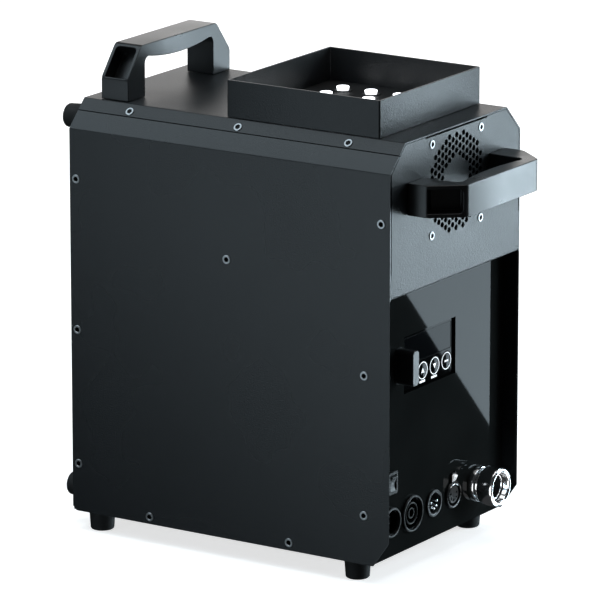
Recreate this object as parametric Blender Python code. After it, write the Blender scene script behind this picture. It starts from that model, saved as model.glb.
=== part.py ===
"""Upright fog machine in a folded black steel case, with a lit outlet tray on its top.

Metres, +Z up. The control end faces -Y, X runs across the machine. The origin is the middle of
the whole machine's footprint, on the surface that it stands on.
"""

from math import cos, pi, radians, sin, sqrt

import bmesh
import bpy
from mathutils import Matrix, Vector

# ---------------------------------------------------------------- driving dimensions
WIDTH = 0.220                 # case, across the side panels
LENGTH = 0.340                # case, front edge to rear face
HEIGHT = 0.381                # case, underside to top face
CHAMFER = 0.024               # sloping shoulder along both top edges
SEAM_SHARE = 0.014            # part of the shoulder that belongs to the side panel
FOOT_HEIGHT = 0.018
HANDLE_RISE = 0.048
SHEET = 0.0015                # steel sheet
GAP = 0.0003                  # between neighbours

FRONT = -(LENGTH + FOOT_HEIGHT + HANDLE_RISE) / 2 + HANDLE_RISE   # front edge of the case
REAR = FRONT + LENGTH
FLOOR = FOOT_HEIGHT           # underside of the case
TOP = FLOOR + HEIGHT
HALF = WIDTH / 2
INNER_HALF = HALF - SHEET - GAP

SET_BACK = 0.0149             # control panel, behind the front edge
PANEL = FRONT + SET_BACK      # front face of the control panel
PANEL_TOP = FLOOR + 0.244     # where the recess ends under the front panel
PANEL_FOOT = FLOOR + 0.0021   # lower edge of the control panel
PANEL_FLANGE = 0.012          # its folds run back this far
FIN_CUT = (0.0166, 0.024)     # cut-off lower front corner of the side panels
SIDE_SLITS = (FLOOR + 0.266, FLOOR + 0.281)   # lower ends of the relief slits, left and right

HANDLE_WIDTH = 0.165
HANDLE_DEPTH = 0.029
TOP_HANDLE_Y = REAR - 0.031
FRONT_HANDLE_Z = FLOOR + 0.330

COLLAR_SIZE = (0.169, 0.160)
COLLAR_HEIGHT = 0.034
COLLAR_WALL = 0.002
COLLAR_FLANGE = 0.008
OUTLET = (0.0, FRONT + 0.107)  # centre of the outlet tray
LENS_X = (0.024, 0.052)       # lens columns, from the middle of the tray
LENS_RADIUS = 0.0058
NOZZLE_RADIUS = 0.0105

FAN_Z = FLOOR + 0.330
FAN_SIZE = 0.092
FAN_DEPTH = 0.025
FAN_SCREW = 0.0825 / 2
GRILLE_RADII = (0.0230, 0.0457)   # hole centres lie between these
HOLE_STEPS = (0.00585, 0.0070)    # between columns, and between holes in a column
HOLE_RADIUS = 0.0029          # of a six-sided hole, to its corners

DISPLAY = (-0.0185, FLOOR + 0.1729, 0.087, 0.0522)   # middle x, middle z, width, height
DISPLAY_SINK = 0.0023
BUTTON_X = (-0.0273, -0.0073, 0.0127)
BUTTON_Z = FLOOR + 0.1605
BUTTON_RADIUS = 0.0087
MODULE = (-0.0716, FLOOR + 0.1752, 0.0108, 0.0320)
MODULE_REACH = 0.0185
ROCKER = (-0.0820, FLOOR + 0.0703, 0.0150, 0.0205)
ROCKER_TILT = radians(9)      # either side of level; it rests with its lower end pressed in
SOCKET_Z = FLOOR + 0.0342
POWER_IN = (-0.0835, 0.0138, 0.0062, 0.0035)    # x, radius, radius of the core and its depth
POWER_OUT = (-0.0489, 0.0168, 0.0094, -0.0010)
XLR_X = (-0.0114, 0.0216)
XLR_RADIUS = 0.0126
COUPLER_X = 0.0636
COUPLER_FLANGE = (0.0165, 0.0060)               # radius and thickness
SLEEVE_TRAVEL = 0.003         # the sleeve is pulled back this far to free a hose

FEET_X = 0.0940
FEET_Y = (FRONT + 0.0425, REAR - 0.0215)
REAR_FEET_X = 0.0850
REAR_FEET_Z = (FLOOR + 0.017, FLOOR + 0.3625)
FOOT_RADII = (0.0120, 0.0105)

GROUND = FLOOR + SHEET + 2 * GAP   # top of the base plate, with the gap above it
HEATER_HEIGHT = 0.190
SHROUD_HALF = 0.050
VENT_STEP = 0.030
FEED_HOLE = (0.068, 0.040)    # x and z of the hose holes in the bulkhead
PRESSURE_HOLE = (0.065, 0.130)


# ---------------------------------------------------------------- materials
def material(name, colour, roughness, metallic=0.0):
    shade = bpy.data.materials.new(name)
    shade.use_nodes = True
    shader = shade.node_tree.nodes["Principled BSDF"]
    shader.inputs["Base Color"].default_value = (*colour, 1.0)
    shader.inputs["Roughness"].default_value = roughness
    shader.inputs["Metallic"].default_value = metallic
    return shade


def make_materials():
    return {
        "powder_coat": material("powder_coat", (0.026, 0.029, 0.032), 0.55),
        "gloss_panel": material("gloss_panel", (0.008, 0.009, 0.010), 0.08),
        "handle_plastic": material("handle_plastic", (0.022, 0.023, 0.025), 0.45),
        "connector_black": material("connector_black", (0.015, 0.015, 0.016), 0.35),
        "rubber": material("rubber", (0.012, 0.012, 0.012), 0.80),
        "chrome": material("chrome", (0.80, 0.81, 0.83), 0.08, 1.0),
        "steel": material("steel", (0.55, 0.56, 0.57), 0.30, 1.0),
        "aluminium": material("aluminium", (0.62, 0.63, 0.65), 0.40, 1.0),
        "lens": material("lens", (0.92, 0.95, 1.00), 0.10),
        "circuit_board": material("circuit_board", (0.020, 0.110, 0.045), 0.45),
        "hose": material("hose", (0.70, 0.74, 0.76), 0.35),
        "key": material("key", (0.010, 0.010, 0.011), 0.15),
    }


# ---------------------------------------------------------------- shape helpers
def link(name, bm, shade, origin=(0.0, 0.0, 0.0)):
    """Make an object whose own origin lies at the given place."""
    bmesh.ops.translate(bm, verts=bm.verts, vec=-Vector(origin))
    bmesh.ops.recalc_face_normals(bm, faces=bm.faces)
    mesh = bpy.data.meshes.new(name)
    bm.to_mesh(mesh)
    bm.free()
    if shade:
        mesh.materials.append(shade)
    thing = bpy.data.objects.new(name, mesh)
    thing.location = origin
    bpy.context.scene.collection.objects.link(thing)
    return thing


def add_box(bm, low, high):
    low, high = Vector(low), Vector(high)
    middle, size = (low + high) / 2, high - low
    matrix = Matrix.Translation(middle) @ Matrix.Diagonal((*size, 1.0))
    bmesh.ops.create_cube(bm, size=1.0, matrix=matrix)


def add_prism(bm, outline, axis, start, end):
    """Extrude a 2D outline along an axis: (y, z) for X, (x, z) for Y, (x, y) for Z."""
    place = {
        "X": lambda a, b, c: (c, a, b),
        "Y": lambda a, b, c: (a, c, b),
        "Z": lambda a, b, c: (a, b, c),
    }[axis]
    ends = [[bm.verts.new(place(a, b, c)) for a, b in outline] for c in (start, end)]
    bm.faces.new(ends[0])
    bm.faces.new(reversed(ends[1]))
    for i in range(len(outline)):
        j = (i + 1) % len(outline)
        bm.faces.new((ends[0][j], ends[0][i], ends[1][i], ends[1][j]))


def add_lathe(bm, profile, segments, centre, axis="Y"):
    """Turn a profile of (radius, distance along the axis) points; a closed loop, or pole to pole."""
    rings = []
    for radius, along in profile:
        ring = []
        for k in range(segments if radius > 0 else 1):
            turn = 2 * pi * k / segments
            a, b = radius * cos(turn), radius * sin(turn)
            point = (a, along, b) if axis == "Y" else (a, b, along)
            ring.append(bm.verts.new(Vector(point) + Vector(centre)))
        rings.append(ring)
    pairs = list(zip(rings, rings[1:]))
    if profile[0][0] > 0:
        pairs.append((rings[-1], rings[0]))
    for one, two in pairs:
        for k in range(segments):
            n = (k + 1) % segments
            corners = [one[k % len(one)], one[n % len(one)], two[n % len(two)], two[k % len(two)]]
            bm.faces.new(dict.fromkeys(corners))


def box(name, low, high, shade):
    bm = bmesh.new()
    add_box(bm, low, high)
    return link(name, bm, shade, (Vector(low) + Vector(high)) / 2)


def prism(name, outline, axis, start, end, shade):
    bm = bmesh.new()
    add_prism(bm, outline, axis, start, end)
    return link(name, bm, shade)


def lathe(name, profile, segments, centre, shade, axis="Y"):
    bm = bmesh.new()
    add_lathe(bm, profile, segments, centre, axis)
    thing = link(name, bm, shade, centre)
    shade_round(thing)
    return thing


def shade_round(thing, angle=35):
    thing.data.shade_smooth()
    thing.data.set_sharp_from_angle(angle=radians(angle))


def round_edges(thing, width, angle):
    modifier = thing.modifiers.new("rounding", "BEVEL")
    modifier.width = width
    modifier.segments = 1
    modifier.limit_method = "ANGLE"
    modifier.angle_limit = radians(angle)


def combine(thing, bm, operation):
    """Cut or join the closed bodies in bm to a thing, as a Boolean modifier."""
    number = len(thing.modifiers) + 1
    tool = link(f"{thing.name}_{operation.lower()}_{number}", bm, None)
    tool.hide_render = True
    tool.display_type = "WIRE"
    modifier = thing.modifiers.new(f"{operation.lower()}_{number}", "BOOLEAN")
    modifier.operation = operation
    modifier.solver = "EXACT"
    modifier.object = tool


def cut_boxes(thing, boxes):
    bm = bmesh.new()
    for low, high in boxes:
        add_box(bm, low, high)
    combine(thing, bm, "DIFFERENCE")


def cut_rounds(thing, rounds, start, end, segments=24, axis="Y"):
    """Cut round holes given as (a, b, radius); they run along an axis from start to end."""
    bm = bmesh.new()
    for a, b, radius in rounds:
        centre = (a, 0.0, b) if axis == "Y" else (a, b, 0.0)
        profile = [(0.0, start), (radius, start), (radius, end), (0.0, end)]
        add_lathe(bm, profile, segments, centre, axis)
    combine(thing, bm, "DIFFERENCE")


def join_boxes(thing, boxes):
    for low, high in boxes:
        bm = bmesh.new()
        add_box(bm, low, high)
        combine(thing, bm, "UNION")


def rounded_rectangle(x, z, width, height, radius, steps=3):
    points = []
    for corner, (sx, sz) in enumerate(((1, 1), (-1, 1), (-1, -1), (1, -1))):
        cx = x + sx * (width / 2 - radius)
        cz = z + sz * (height / 2 - radius)
        for k in range(steps + 1):
            turn = pi / 2 * (corner + k / steps)
            points.append((cx + radius * cos(turn), cz + radius * sin(turn)))
    return points


# ---------------------------------------------------------------- case
def side_panel(name, side, shade):
    """Flat sheet whose top edge is folded inward to make half of the sloping shoulder."""
    fold = TOP - CHAMFER
    inner_fold = fold - SHEET * (sqrt(2) - 1)
    slope = SHEET / sqrt(2)
    seam_x, seam_z = HALF - SEAM_SHARE, fold + SEAM_SHARE
    outline = [
        (side * HALF, FLOOR),
        (side * HALF, fold),
        (side * seam_x, seam_z),
        (side * (seam_x - slope), seam_z - slope),
        (side * (HALF - SHEET), inner_fold),
        (side * (HALF - SHEET), FLOOR),
    ]
    panel = prism(name, outline, "Y", FRONT, REAR, shade)
    reach, rise = FIN_CUT
    bm = bmesh.new()
    corner = [(FRONT - 0.01, FLOOR - 0.01), (FRONT + reach, FLOOR - 0.01), (FRONT + reach, FLOOR),
              (FRONT, FLOOR + rise), (FRONT - 0.01, FLOOR + rise)]
    ends = sorted((side * (HALF + 0.01), side * (HALF - 0.01)))
    add_prism(bm, corner, "X", *ends)
    small = 0.004
    rear_corner = [(REAR + 0.01, FLOOR - 0.01), (REAR + 0.01, FLOOR + small),
                   (REAR, FLOOR + small), (REAR - small, FLOOR), (REAR - small, FLOOR - 0.01)]
    add_prism(bm, rear_corner, "X", *ends)
    combine(panel, bm, "DIFFERENCE")
    return panel


def top_cover(shade):
    """Flat top with a short slope on each side, and the window under the outlet tray."""
    seam = CHAMFER - SEAM_SHARE
    flat = HALF - CHAMFER
    play = 0.0006
    slope = SHEET / sqrt(2)
    inner = flat - SHEET * (sqrt(2) - 1)
    reach = seam - play
    right = [
        (flat, TOP),
        (flat + reach, TOP - reach),
        (flat + reach - slope, TOP - reach - slope),
        (inner, TOP - SHEET),
    ]
    left = [(-x, z) for x, z in reversed(right)]
    cover = prism("top_cover", right + left, "Y", FRONT, REAR, shade)
    half_x = COLLAR_SIZE[0] / 2 - COLLAR_FLANGE + 0.001
    half_y = COLLAR_SIZE[1] / 2 - COLLAR_FLANGE + 0.001
    x, y = OUTLET
    cut_boxes(cover, [((x - half_x, y - half_y, TOP - 0.01), (x + half_x, y + half_y, TOP + 0.01))])
    return cover


def front_panel(shade):
    """Upper front sheet with the fan grille, folded back along its sides and lower edge."""
    top = TOP - SHEET - GAP
    half = INNER_HALF
    bend = TOP - CHAMFER - 0.0012
    shoulder = half - (top - bend)
    outline = [(-half, PANEL_TOP), (half, PANEL_TOP), (half, bend), (shoulder, top),
               (-shoulder, top), (-half, bend)]
    panel = prism("front_panel", outline, "Y", FRONT, FRONT + SHEET, shade)
    inside = FRONT + SHEET / 2
    fold_top = bend - 0.012
    join_boxes(panel, [
        ((-half, inside, PANEL_TOP), (half, PANEL - GAP, PANEL_TOP + SHEET)),
        ((-half, inside, PANEL_TOP + 0.0007), (-half + SHEET, FRONT + 0.014, fold_top)),
        ((half - SHEET, inside, PANEL_TOP + 0.0007), (half, FRONT + 0.014, fold_top)),
    ])
    bm = bmesh.new()
    step_x, step_z = HOLE_STEPS
    reach = int(GRILLE_RADII[1] / step_x) + 1
    for column in range(-reach, reach + 1):
        for row in range(-reach, reach + 1):
            x = column * step_x
            z = (row + (column % 2) / 2) * step_z
            if GRILLE_RADII[0] < sqrt(x * x + z * z) < GRILLE_RADII[1]:
                six = [(x + HOLE_RADIUS * cos(k * pi / 3), FAN_Z + z + HOLE_RADIUS * sin(k * pi / 3))
                       for k in range(6)]
                add_prism(bm, six, "Y", FRONT - 0.002, FRONT + SHEET + 0.002)
    combine(panel, bm, "DIFFERENCE")
    screw_holes = [(sx * FAN_SCREW, FAN_Z + sz * FAN_SCREW, 0.0021) for sx in (-1, 1) for sz in (-1, 1)]
    cut_rounds(panel, screw_holes, FRONT - 0.002, FRONT + SHEET + 0.002, 12)
    slit = 0.052
    notch = half - 0.0009
    cut_boxes(panel, [
        ((-slit, FRONT - 0.001, top - 0.0013), (slit, FRONT + 0.003, top + 0.001)),
        ((-half - 0.001, FRONT - 0.001, SIDE_SLITS[0]), (-notch, FRONT + 0.002, bend)),
        ((notch, FRONT - 0.001, SIDE_SLITS[1]), (half + 0.001, FRONT + 0.002, bend)),
    ])
    return panel


def control_panel(shade):
    """Glossy sheet at the back of the recess, folded back along its sides and foot."""
    half = INNER_HALF
    back = PANEL + PANEL_FLANGE
    inside = PANEL + SHEET / 2
    high = PANEL_TOP - GAP
    panel = box("control_panel", (-half, PANEL, PANEL_FOOT), (half, PANEL + SHEET, high), shade)
    join_boxes(panel, [
        ((-half + 0.003, inside, PANEL_FOOT), (half - 0.003, back, PANEL_FOOT + SHEET)),
        ((-half, inside, FLOOR + 0.017), (-half + SHEET, back, high - 0.004)),
        ((half - SHEET, inside, FLOOR + 0.017), (half, back, high - 0.004)),
    ])
    start, end = PANEL - 0.002, PANEL + SHEET + 0.002
    x, z, width, height = DISPLAY
    x2, z2, width2, height2 = ROCKER
    x3, z3, width3, height3 = MODULE
    cut_boxes(panel, [
        ((x - width / 2, start, z - height / 2), (x + width / 2, end, z + height / 2)),
        ((x2 - width2 / 2 + 0.001, start, z2 - height2 / 2 + 0.001),
         (x2 + width2 / 2 - 0.001, end, z2 + height2 / 2 - 0.001)),
        ((x3 - 0.004, start, z3 - 0.008), (x3 + 0.004, end, z3 + 0.008)),
    ])
    rounds = [(px, SOCKET_Z, radius - 0.0006) for px, radius, core, depth in (POWER_IN, POWER_OUT)]
    rounds.append((XLR_X[0], SOCKET_Z, XLR_RADIUS - 0.001))
    rounds.append((XLR_X[1], SOCKET_Z, XLR_RADIUS - 0.001))
    rounds.append((COUPLER_X, SOCKET_Z, 0.0103))
    cut_rounds(panel, rounds, start, end)
    cut_boxes(panel, [((XLR_X[1] - 0.0045, start, SOCKET_Z + 0.006),
                       (XLR_X[1] + 0.0045, end, SOCKET_Z + 0.0207))])
    return panel


def rear_panel(shade):
    """Rear sheet with side folds for the side screws and a block of cooling slots."""
    half = INNER_HALF
    top = TOP - SHEET - GAP
    bend = TOP - CHAMFER - 0.0012
    shoulder = half - (top - bend)
    outline = [(-half, FLOOR + GAP), (half, FLOOR + GAP), (half, bend), (shoulder, top),
               (-shoulder, top), (-half, bend)]
    panel = prism("rear_panel", outline, "Y", REAR - SHEET, REAR, shade)
    fold = REAR - 0.014
    low = FLOOR + 0.020
    join_boxes(panel, [
        ((-half, fold, low), (-half + SHEET, REAR - SHEET / 2, bend - 0.012)),
        ((half - SHEET, fold, low), (half, REAR - SHEET / 2, bend - 0.012)),
    ])
    slots = []
    for row in range(10):
        z = FLOOR + 0.150 + row * 0.014
        slots.append(((-0.055, REAR - 0.004, z), (0.055, REAR + 0.002, z + 0.005)))
    cut_boxes(panel, slots)
    return panel


def base_plate(shade):
    """Bottom sheet with its sides folded up behind the lower screws."""
    half = INNER_HALF
    rise = FLOOR + 0.016
    outline = [
        (-half, FLOOR + GAP), (half, FLOOR + GAP), (half, rise), (half - SHEET, rise),
        (half - SHEET, FLOOR + GAP + SHEET), (-half + SHEET, FLOOR + GAP + SHEET),
        (-half + SHEET, rise), (-half, rise),
    ]
    start = PANEL + 0.0042
    return prism("base_plate", outline, "Y", start, REAR - SHEET - GAP, shade)


def outlet_collar(shade):
    """Square wall around the outlet, standing on the top cover on an inward flange."""
    x, y = OUTLET
    half_x, half_y = COLLAR_SIZE[0] / 2, COLLAR_SIZE[1] / 2
    low, high = TOP + GAP, TOP + COLLAR_HEIGHT
    collar = box("outlet_collar", (x - half_x, y - half_y, low), (x + half_x, y + half_y, high), shade)
    wide_x, wide_y = half_x - COLLAR_WALL, half_y - COLLAR_WALL
    hole_x, hole_y = half_x - COLLAR_FLANGE, half_y - COLLAR_FLANGE
    cut_boxes(collar, [((x - wide_x, y - wide_y, low + SHEET), (x + wide_x, y + wide_y, high + 0.01))])
    cut_boxes(collar, [((x - hole_x, y - hole_y, low - 0.01), (x + hole_x, y + hole_y, low + 0.01))])
    return collar


# ---------------------------------------------------------------- outlet
def lens_places():
    """Sixteen lenses: four down each outer column, three down each inner one, two in the middle."""
    outer, inner = LENS_X[1], LENS_X[0]
    places = [(sx * outer, row) for sx in (-1, 1) for row in (-0.045, -0.015, 0.015, 0.045)]
    places += [(sx * inner, row) for sx in (-1, 1) for row in (-0.045, 0.0, 0.045)]
    places += [(0.0, -0.045), (0.0, 0.045)]
    return [(OUTLET[0] + x, OUTLET[1] + y) for x, y in places]


def outlet_pieces(shades):
    x, y = OUTLET
    deck_low = TOP + SHEET + 2 * GAP
    half_x = COLLAR_SIZE[0] / 2 - COLLAR_WALL - GAP
    half_y = COLLAR_SIZE[1] / 2 - COLLAR_WALL - GAP
    deck = box("outlet_deck", (x - half_x, y - half_y, deck_low),
               (x + half_x, y + half_y, deck_low + SHEET), shades["powder_coat"])
    holes = [(lx, ly, LENS_RADIUS + GAP) for lx, ly in lens_places()]
    holes.append((x, y, NOZZLE_RADIUS + 0.0015))
    cut_rounds(deck, holes, deck_low - 0.01, deck_low + 0.01, 12, "Z")

    array_top = deck_low - 2 * GAP
    array_low = array_top - 0.002
    half_x, half_y = 0.0620, 0.0550
    array = box("lens_array", (x - half_x, y - half_y, array_low),
                (x + half_x, y + half_y, array_top), shades["lens"])
    bm = bmesh.new()
    for lx, ly in lens_places():
        narrow, wide = LENS_RADIUS * 0.72, LENS_RADIUS
        tip = deck_low + SHEET + 0.0035
        profile = [(0.0, array_low + 0.001), (narrow, array_low + 0.001), (wide, tip), (0.0, tip)]
        add_lathe(bm, profile, 12, (lx, ly, 0.0), "Z")
    combine(array, bm, "UNION")
    centre_hole = [(x, y, NOZZLE_RADIUS + 0.0015)]
    cut_rounds(array, centre_hole, array_low - 0.01, array_top + 0.01, 20, "Z")

    board_top = array_low - 0.0016
    board = box("led_board", (x - half_x, y - half_y, board_top - 0.0016),
                (x + half_x, y + half_y, board_top), shades["aluminium"])
    bm = bmesh.new()
    for lx, ly in lens_places():
        add_box(bm, (lx - 0.002, ly - 0.002, board_top - 0.0008), (lx + 0.002, ly + 0.002, board_top + 0.001))
    combine(board, bm, "UNION")
    cut_rounds(board, centre_hole, board_top - 0.01, board_top + 0.01, 20, "Z")

    sink_top = board_top - 0.0016 - GAP
    sink_low = sink_top - 0.022
    root = sink_top - 0.004
    sink_half, fin, pitch = 0.0620, 0.0018, 0.0124
    outline = [(-sink_half, sink_top)]
    for k in range(11):
        left = -sink_half + k * (2 * sink_half - fin) / 10
        if k:
            outline.append((left, root))
        outline += [(left, sink_low), (left + fin, sink_low)]
        if k < 10:
            outline.append((left + fin, root))
    outline.append((sink_half, sink_top))
    sink = prism("led_heat_sink", outline, "Y", y - 0.055, y + 0.055, shades["aluminium"])
    cut_rounds(sink, [(x, y, NOZZLE_RADIUS + 0.004)], sink_low - 0.01, sink_top + 0.01, 20, "Z")

    nozzle_low = sink_low - 0.030
    nozzle_top = deck_low + SHEET + 0.004
    bore = 0.0045
    profile = [
        (bore, nozzle_low), (NOZZLE_RADIUS - 0.003, nozzle_low), (NOZZLE_RADIUS - 0.003, nozzle_top - 0.012),
        (NOZZLE_RADIUS, nozzle_top - 0.010), (NOZZLE_RADIUS, nozzle_top), (bore + 0.003, nozzle_top),
        (bore, nozzle_top - 0.006),
    ]
    lathe("fog_nozzle", profile, 20, (x, y, 0.0), shades["steel"], "Z")
    return nozzle_low


# ---------------------------------------------------------------- handles and feet
def handle(name, shade):
    """Bridge handle on its own base plane (z = 0): sloping ends with pockets, bellied grip."""
    half, rise, depth = HANDLE_WIDTH / 2, HANDLE_RISE - GAP, HANDLE_DEPTH / 2
    flat, leg_top, inner = 0.0605, 0.020, 0.0550
    outline = [(-inner, 0.0), (-half, 0.0), (-half, leg_top), (-flat, rise), (flat, rise),
               (half, leg_top), (half, 0.0), (inner, 0.0), (inner, 0.0300), (0.0490, 0.0365)]
    steps = 10
    for k in range(1, steps):
        x = 0.0490 - 2 * 0.0490 * k / steps
        outline.append((x, 0.0315 + 0.0050 * (x / 0.0490) ** 2))
    outline += [(-0.0490, 0.0365), (-inner, 0.0300)]
    grip = prism(name, outline, "Y", -depth, depth, shade)
    pocket_y = depth - 0.0035
    pockets = []
    for side in (-1, 1):
        ends = sorted((side * 0.0625, side * (half - 0.0035)))
        pockets.append(((ends[0], -pocket_y, 0.008), (ends[1], pocket_y, rise + 0.01)))
    cut_boxes(grip, pockets)
    round_edges(grip, 0.0012, 40)
    return grip


def handles(shades):
    upper = handle("top_handle", shades["handle_plastic"])
    upper.location = (0.0, TOP_HANDLE_Y, TOP + GAP)
    lower = handle("front_handle", shades["handle_plastic"])
    lower.rotation_euler = (pi / 2, 0.0, 0.0)
    lower.location = (0.0, FRONT - GAP, FRONT_HANDLE_Z)


def foot_profile():
    wide, narrow = FOOT_RADII
    tall = FOOT_HEIGHT
    return [
        (0.0, -GAP), (wide, -GAP), (narrow + 0.0003, -tall + 0.0015), (narrow - 0.0012, -tall),
        (0.0045, -tall), (0.0045, -tall + 0.005), (0.0, -tall + 0.005),
    ]


def feet(shades):
    """Four feet under the case, and four on the rear face so that it can lie on its back."""
    number = 0
    for y in FEET_Y:
        for side in (-1, 1):
            number += 1
            lathe(f"base_foot_{number}", foot_profile(), 16, (side * FEET_X, y, FLOOR), shades["rubber"], "Z")
    number = 0
    for z in REAR_FEET_Z:
        for side in (-1, 1):
            number += 1
            profile = [(r, -along) for r, along in foot_profile()]
            lathe(f"rear_foot_{number}", profile, 16, (side * REAR_FEET_X, REAR, z), shades["rubber"])


# ---------------------------------------------------------------- fan
def fan(shades):
    front = FRONT + SHEET + GAP
    back = front + FAN_DEPTH
    half = FAN_SIZE / 2
    duct, tip, hub = 0.0435, 0.0420, 0.0175
    frame = box("fan_frame", (-half, front, FAN_Z - half), (half, back, FAN_Z + half),
                shades["connector_black"])
    cut_rounds(frame, [(0.0, FAN_Z, duct)], front - 0.01, back + 0.01, 40)
    spider = back - 0.004
    join_boxes(frame, [
        ((-duct - 0.002, spider, FAN_Z - 0.002), (duct + 0.002, back, FAN_Z + 0.002)),
        ((-0.002, spider, FAN_Z - duct - 0.002), (0.002, back, FAN_Z + duct + 0.002)),
    ])
    bm = bmesh.new()
    add_lathe(bm, [(0.0, spider - 0.0003), (hub, spider - 0.0003), (hub, back), (0.0, back)], 24,
              (0.0, 0.0, FAN_Z))
    combine(frame, bm, "UNION")
    holes = [(sx * FAN_SCREW, FAN_Z + sz * FAN_SCREW, 0.0021) for sx in (-1, 1) for sz in (-1, 1)]
    cut_rounds(frame, holes, front - 0.01, back + 0.01, 12)

    centre = Vector((0.0, (front + spider) / 2, FAN_Z))
    thick = (spider - front) / 2 - 0.0012
    rotor = lathe("fan_rotor", [(0.0, -thick), (hub - 0.002, -thick), (hub, -thick + 0.002),
                                (hub, thick), (0.0, thick)], 28, centre, shades["connector_black"])
    blades = 7
    for k in range(blades):
        bm = bmesh.new()
        blade_outline = [(-0.0065, -0.0068), (-0.0055, -0.0077), (0.0065, 0.0068), (0.0055, 0.0077)]
        add_prism(bm, blade_outline, "Z", hub - 0.002, tip)
        turn = Matrix.Translation(centre) @ Matrix.Rotation(2 * pi * k / blades, 4, "Y")
        bmesh.ops.transform(bm, matrix=turn, verts=bm.verts)
        combine(rotor, bm, "UNION")

    number = 0
    for sx in (-1, 1):
        for sz in (-1, 1):
            number += 1
            place = (sx * FAN_SCREW, FRONT - GAP, FAN_Z + sz * FAN_SCREW)
            profile = [(0.0, 0.022), (0.0017, 0.022), (0.0017, 0.0), (0.0038, 0.0), (0.0038, -0.0005),
                       (0.0026, -0.0016), (0.0, -0.0016)]
            lathe(f"fan_screw_{number}", profile, 16, place, shades["steel"])


# ---------------------------------------------------------------- control panel fittings
def display_pieces(shades):
    x, z, width, height = DISPLAY
    face = PANEL + DISPLAY_SINK
    half_x, half_z = width / 2 - GAP, height / 2 - GAP
    unit = box("display_unit", (x - half_x, face, z - half_z), (x + half_x, face + 0.014, z + half_z),
               shades["key"])
    wells = [(bx, BUTTON_Z, BUTTON_RADIUS + GAP) for bx in BUTTON_X]
    cut_rounds(unit, wells, face - 0.01, face + 0.004)
    names = ("button_up", "button_down", "button_enter")
    for name, bx in zip(names, BUTTON_X):
        profile = [(0.0, 0.0), (BUTTON_RADIUS - 0.0004, 0.0), (BUTTON_RADIUS, 0.0004),
                   (BUTTON_RADIUS, 0.0026), (0.0, 0.0026)]
        lathe(name, profile, 24, (bx, face - 0.0003, BUTTON_Z), shades["key"])


def plug_in_module(shades):
    """Upright block with rounded edges, plugged into the panel beside the display."""
    x, z, width, height = MODULE
    outline = rounded_rectangle(x, z, width, height, 0.003)
    block = prism("plug_in_module", outline, "Y", PANEL - MODULE_REACH, PANEL - GAP, shades["handle_plastic"])
    join_boxes(block, [((x - 0.0037, PANEL - 0.001, z - 0.0077), (x + 0.0037, PANEL + 0.010, z + 0.0077))])


def rocker_switch(shades):
    x, z, width, height = ROCKER
    outline = rounded_rectangle(x, z, width, height, 0.0012, 2)
    body = prism("rocker_switch_body", outline, "Y", PANEL - 0.0022, PANEL - GAP, shades["connector_black"])
    tail_x, tail_z = width / 2 - 0.0013, height / 2 - 0.0013
    join_boxes(body, [((x - tail_x, PANEL - 0.001, z - tail_z), (x + tail_x, PANEL + 0.020, z + tail_z))])
    well_x, well_z = width / 2 - 0.0030, height / 2 - 0.0030
    cut_boxes(body, [((x - well_x, PANEL - 0.010, z - well_z), (x + well_x, PANEL + 0.008, z + well_z))])
    # The lever tilts about a pin across the switch, 3 mm behind the panel face.
    lever_x, lever_z = well_x - 0.0004, well_z - 0.0008
    axis_y = PANEL + 0.003
    outline = [(-0.0062, lever_z - 0.0004), (-0.0040, 0.0018), (-0.0040, -0.0018), (-0.0062, -lever_z + 0.0004),
               (-0.0025, -lever_z), (0.0030, -0.0030), (0.0030, 0.0030), (-0.0025, lever_z)]
    outline = [(axis_y + y, z + up) for y, up in outline]
    bm = bmesh.new()
    add_prism(bm, outline, "X", x - lever_x, x + lever_x)
    lever = link("rocker_lever", bm, shades["connector_black"], (x, axis_y, z))
    lever.rotation_euler = (ROCKER_TILT, 0.0, 0.0)


def power_sockets(shades):
    """Round locking mains sockets, one in and one out: a collar, a well and a keyed core."""
    for name, (x, radius, core, face) in zip(("power_inlet", "power_outlet"), (POWER_IN, POWER_OUT)):
        well, back = radius - 0.0018, 0.024
        profile = [
            (0.0, back), (radius - 0.0009, back), (radius - 0.0009, -GAP), (radius, -GAP),
            (radius, -0.0022), (radius - 0.0008, -0.0030), (well, -0.0030), (well, 0.013),
            (core, 0.013), (core, face), (core - 0.0018, face), (core - 0.0018, face + 0.0030), (0.0, face + 0.0030),
        ]
        socket = lathe(name, profile, 24, (x, PANEL, SOCKET_Z), shades["connector_black"])
        key = 0.0018
        join_boxes(socket, [((x - key, PANEL, SOCKET_Z + core - 0.001),
                             (x + key, PANEL + 0.0135, SOCKET_Z + well + 0.0002))])


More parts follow.
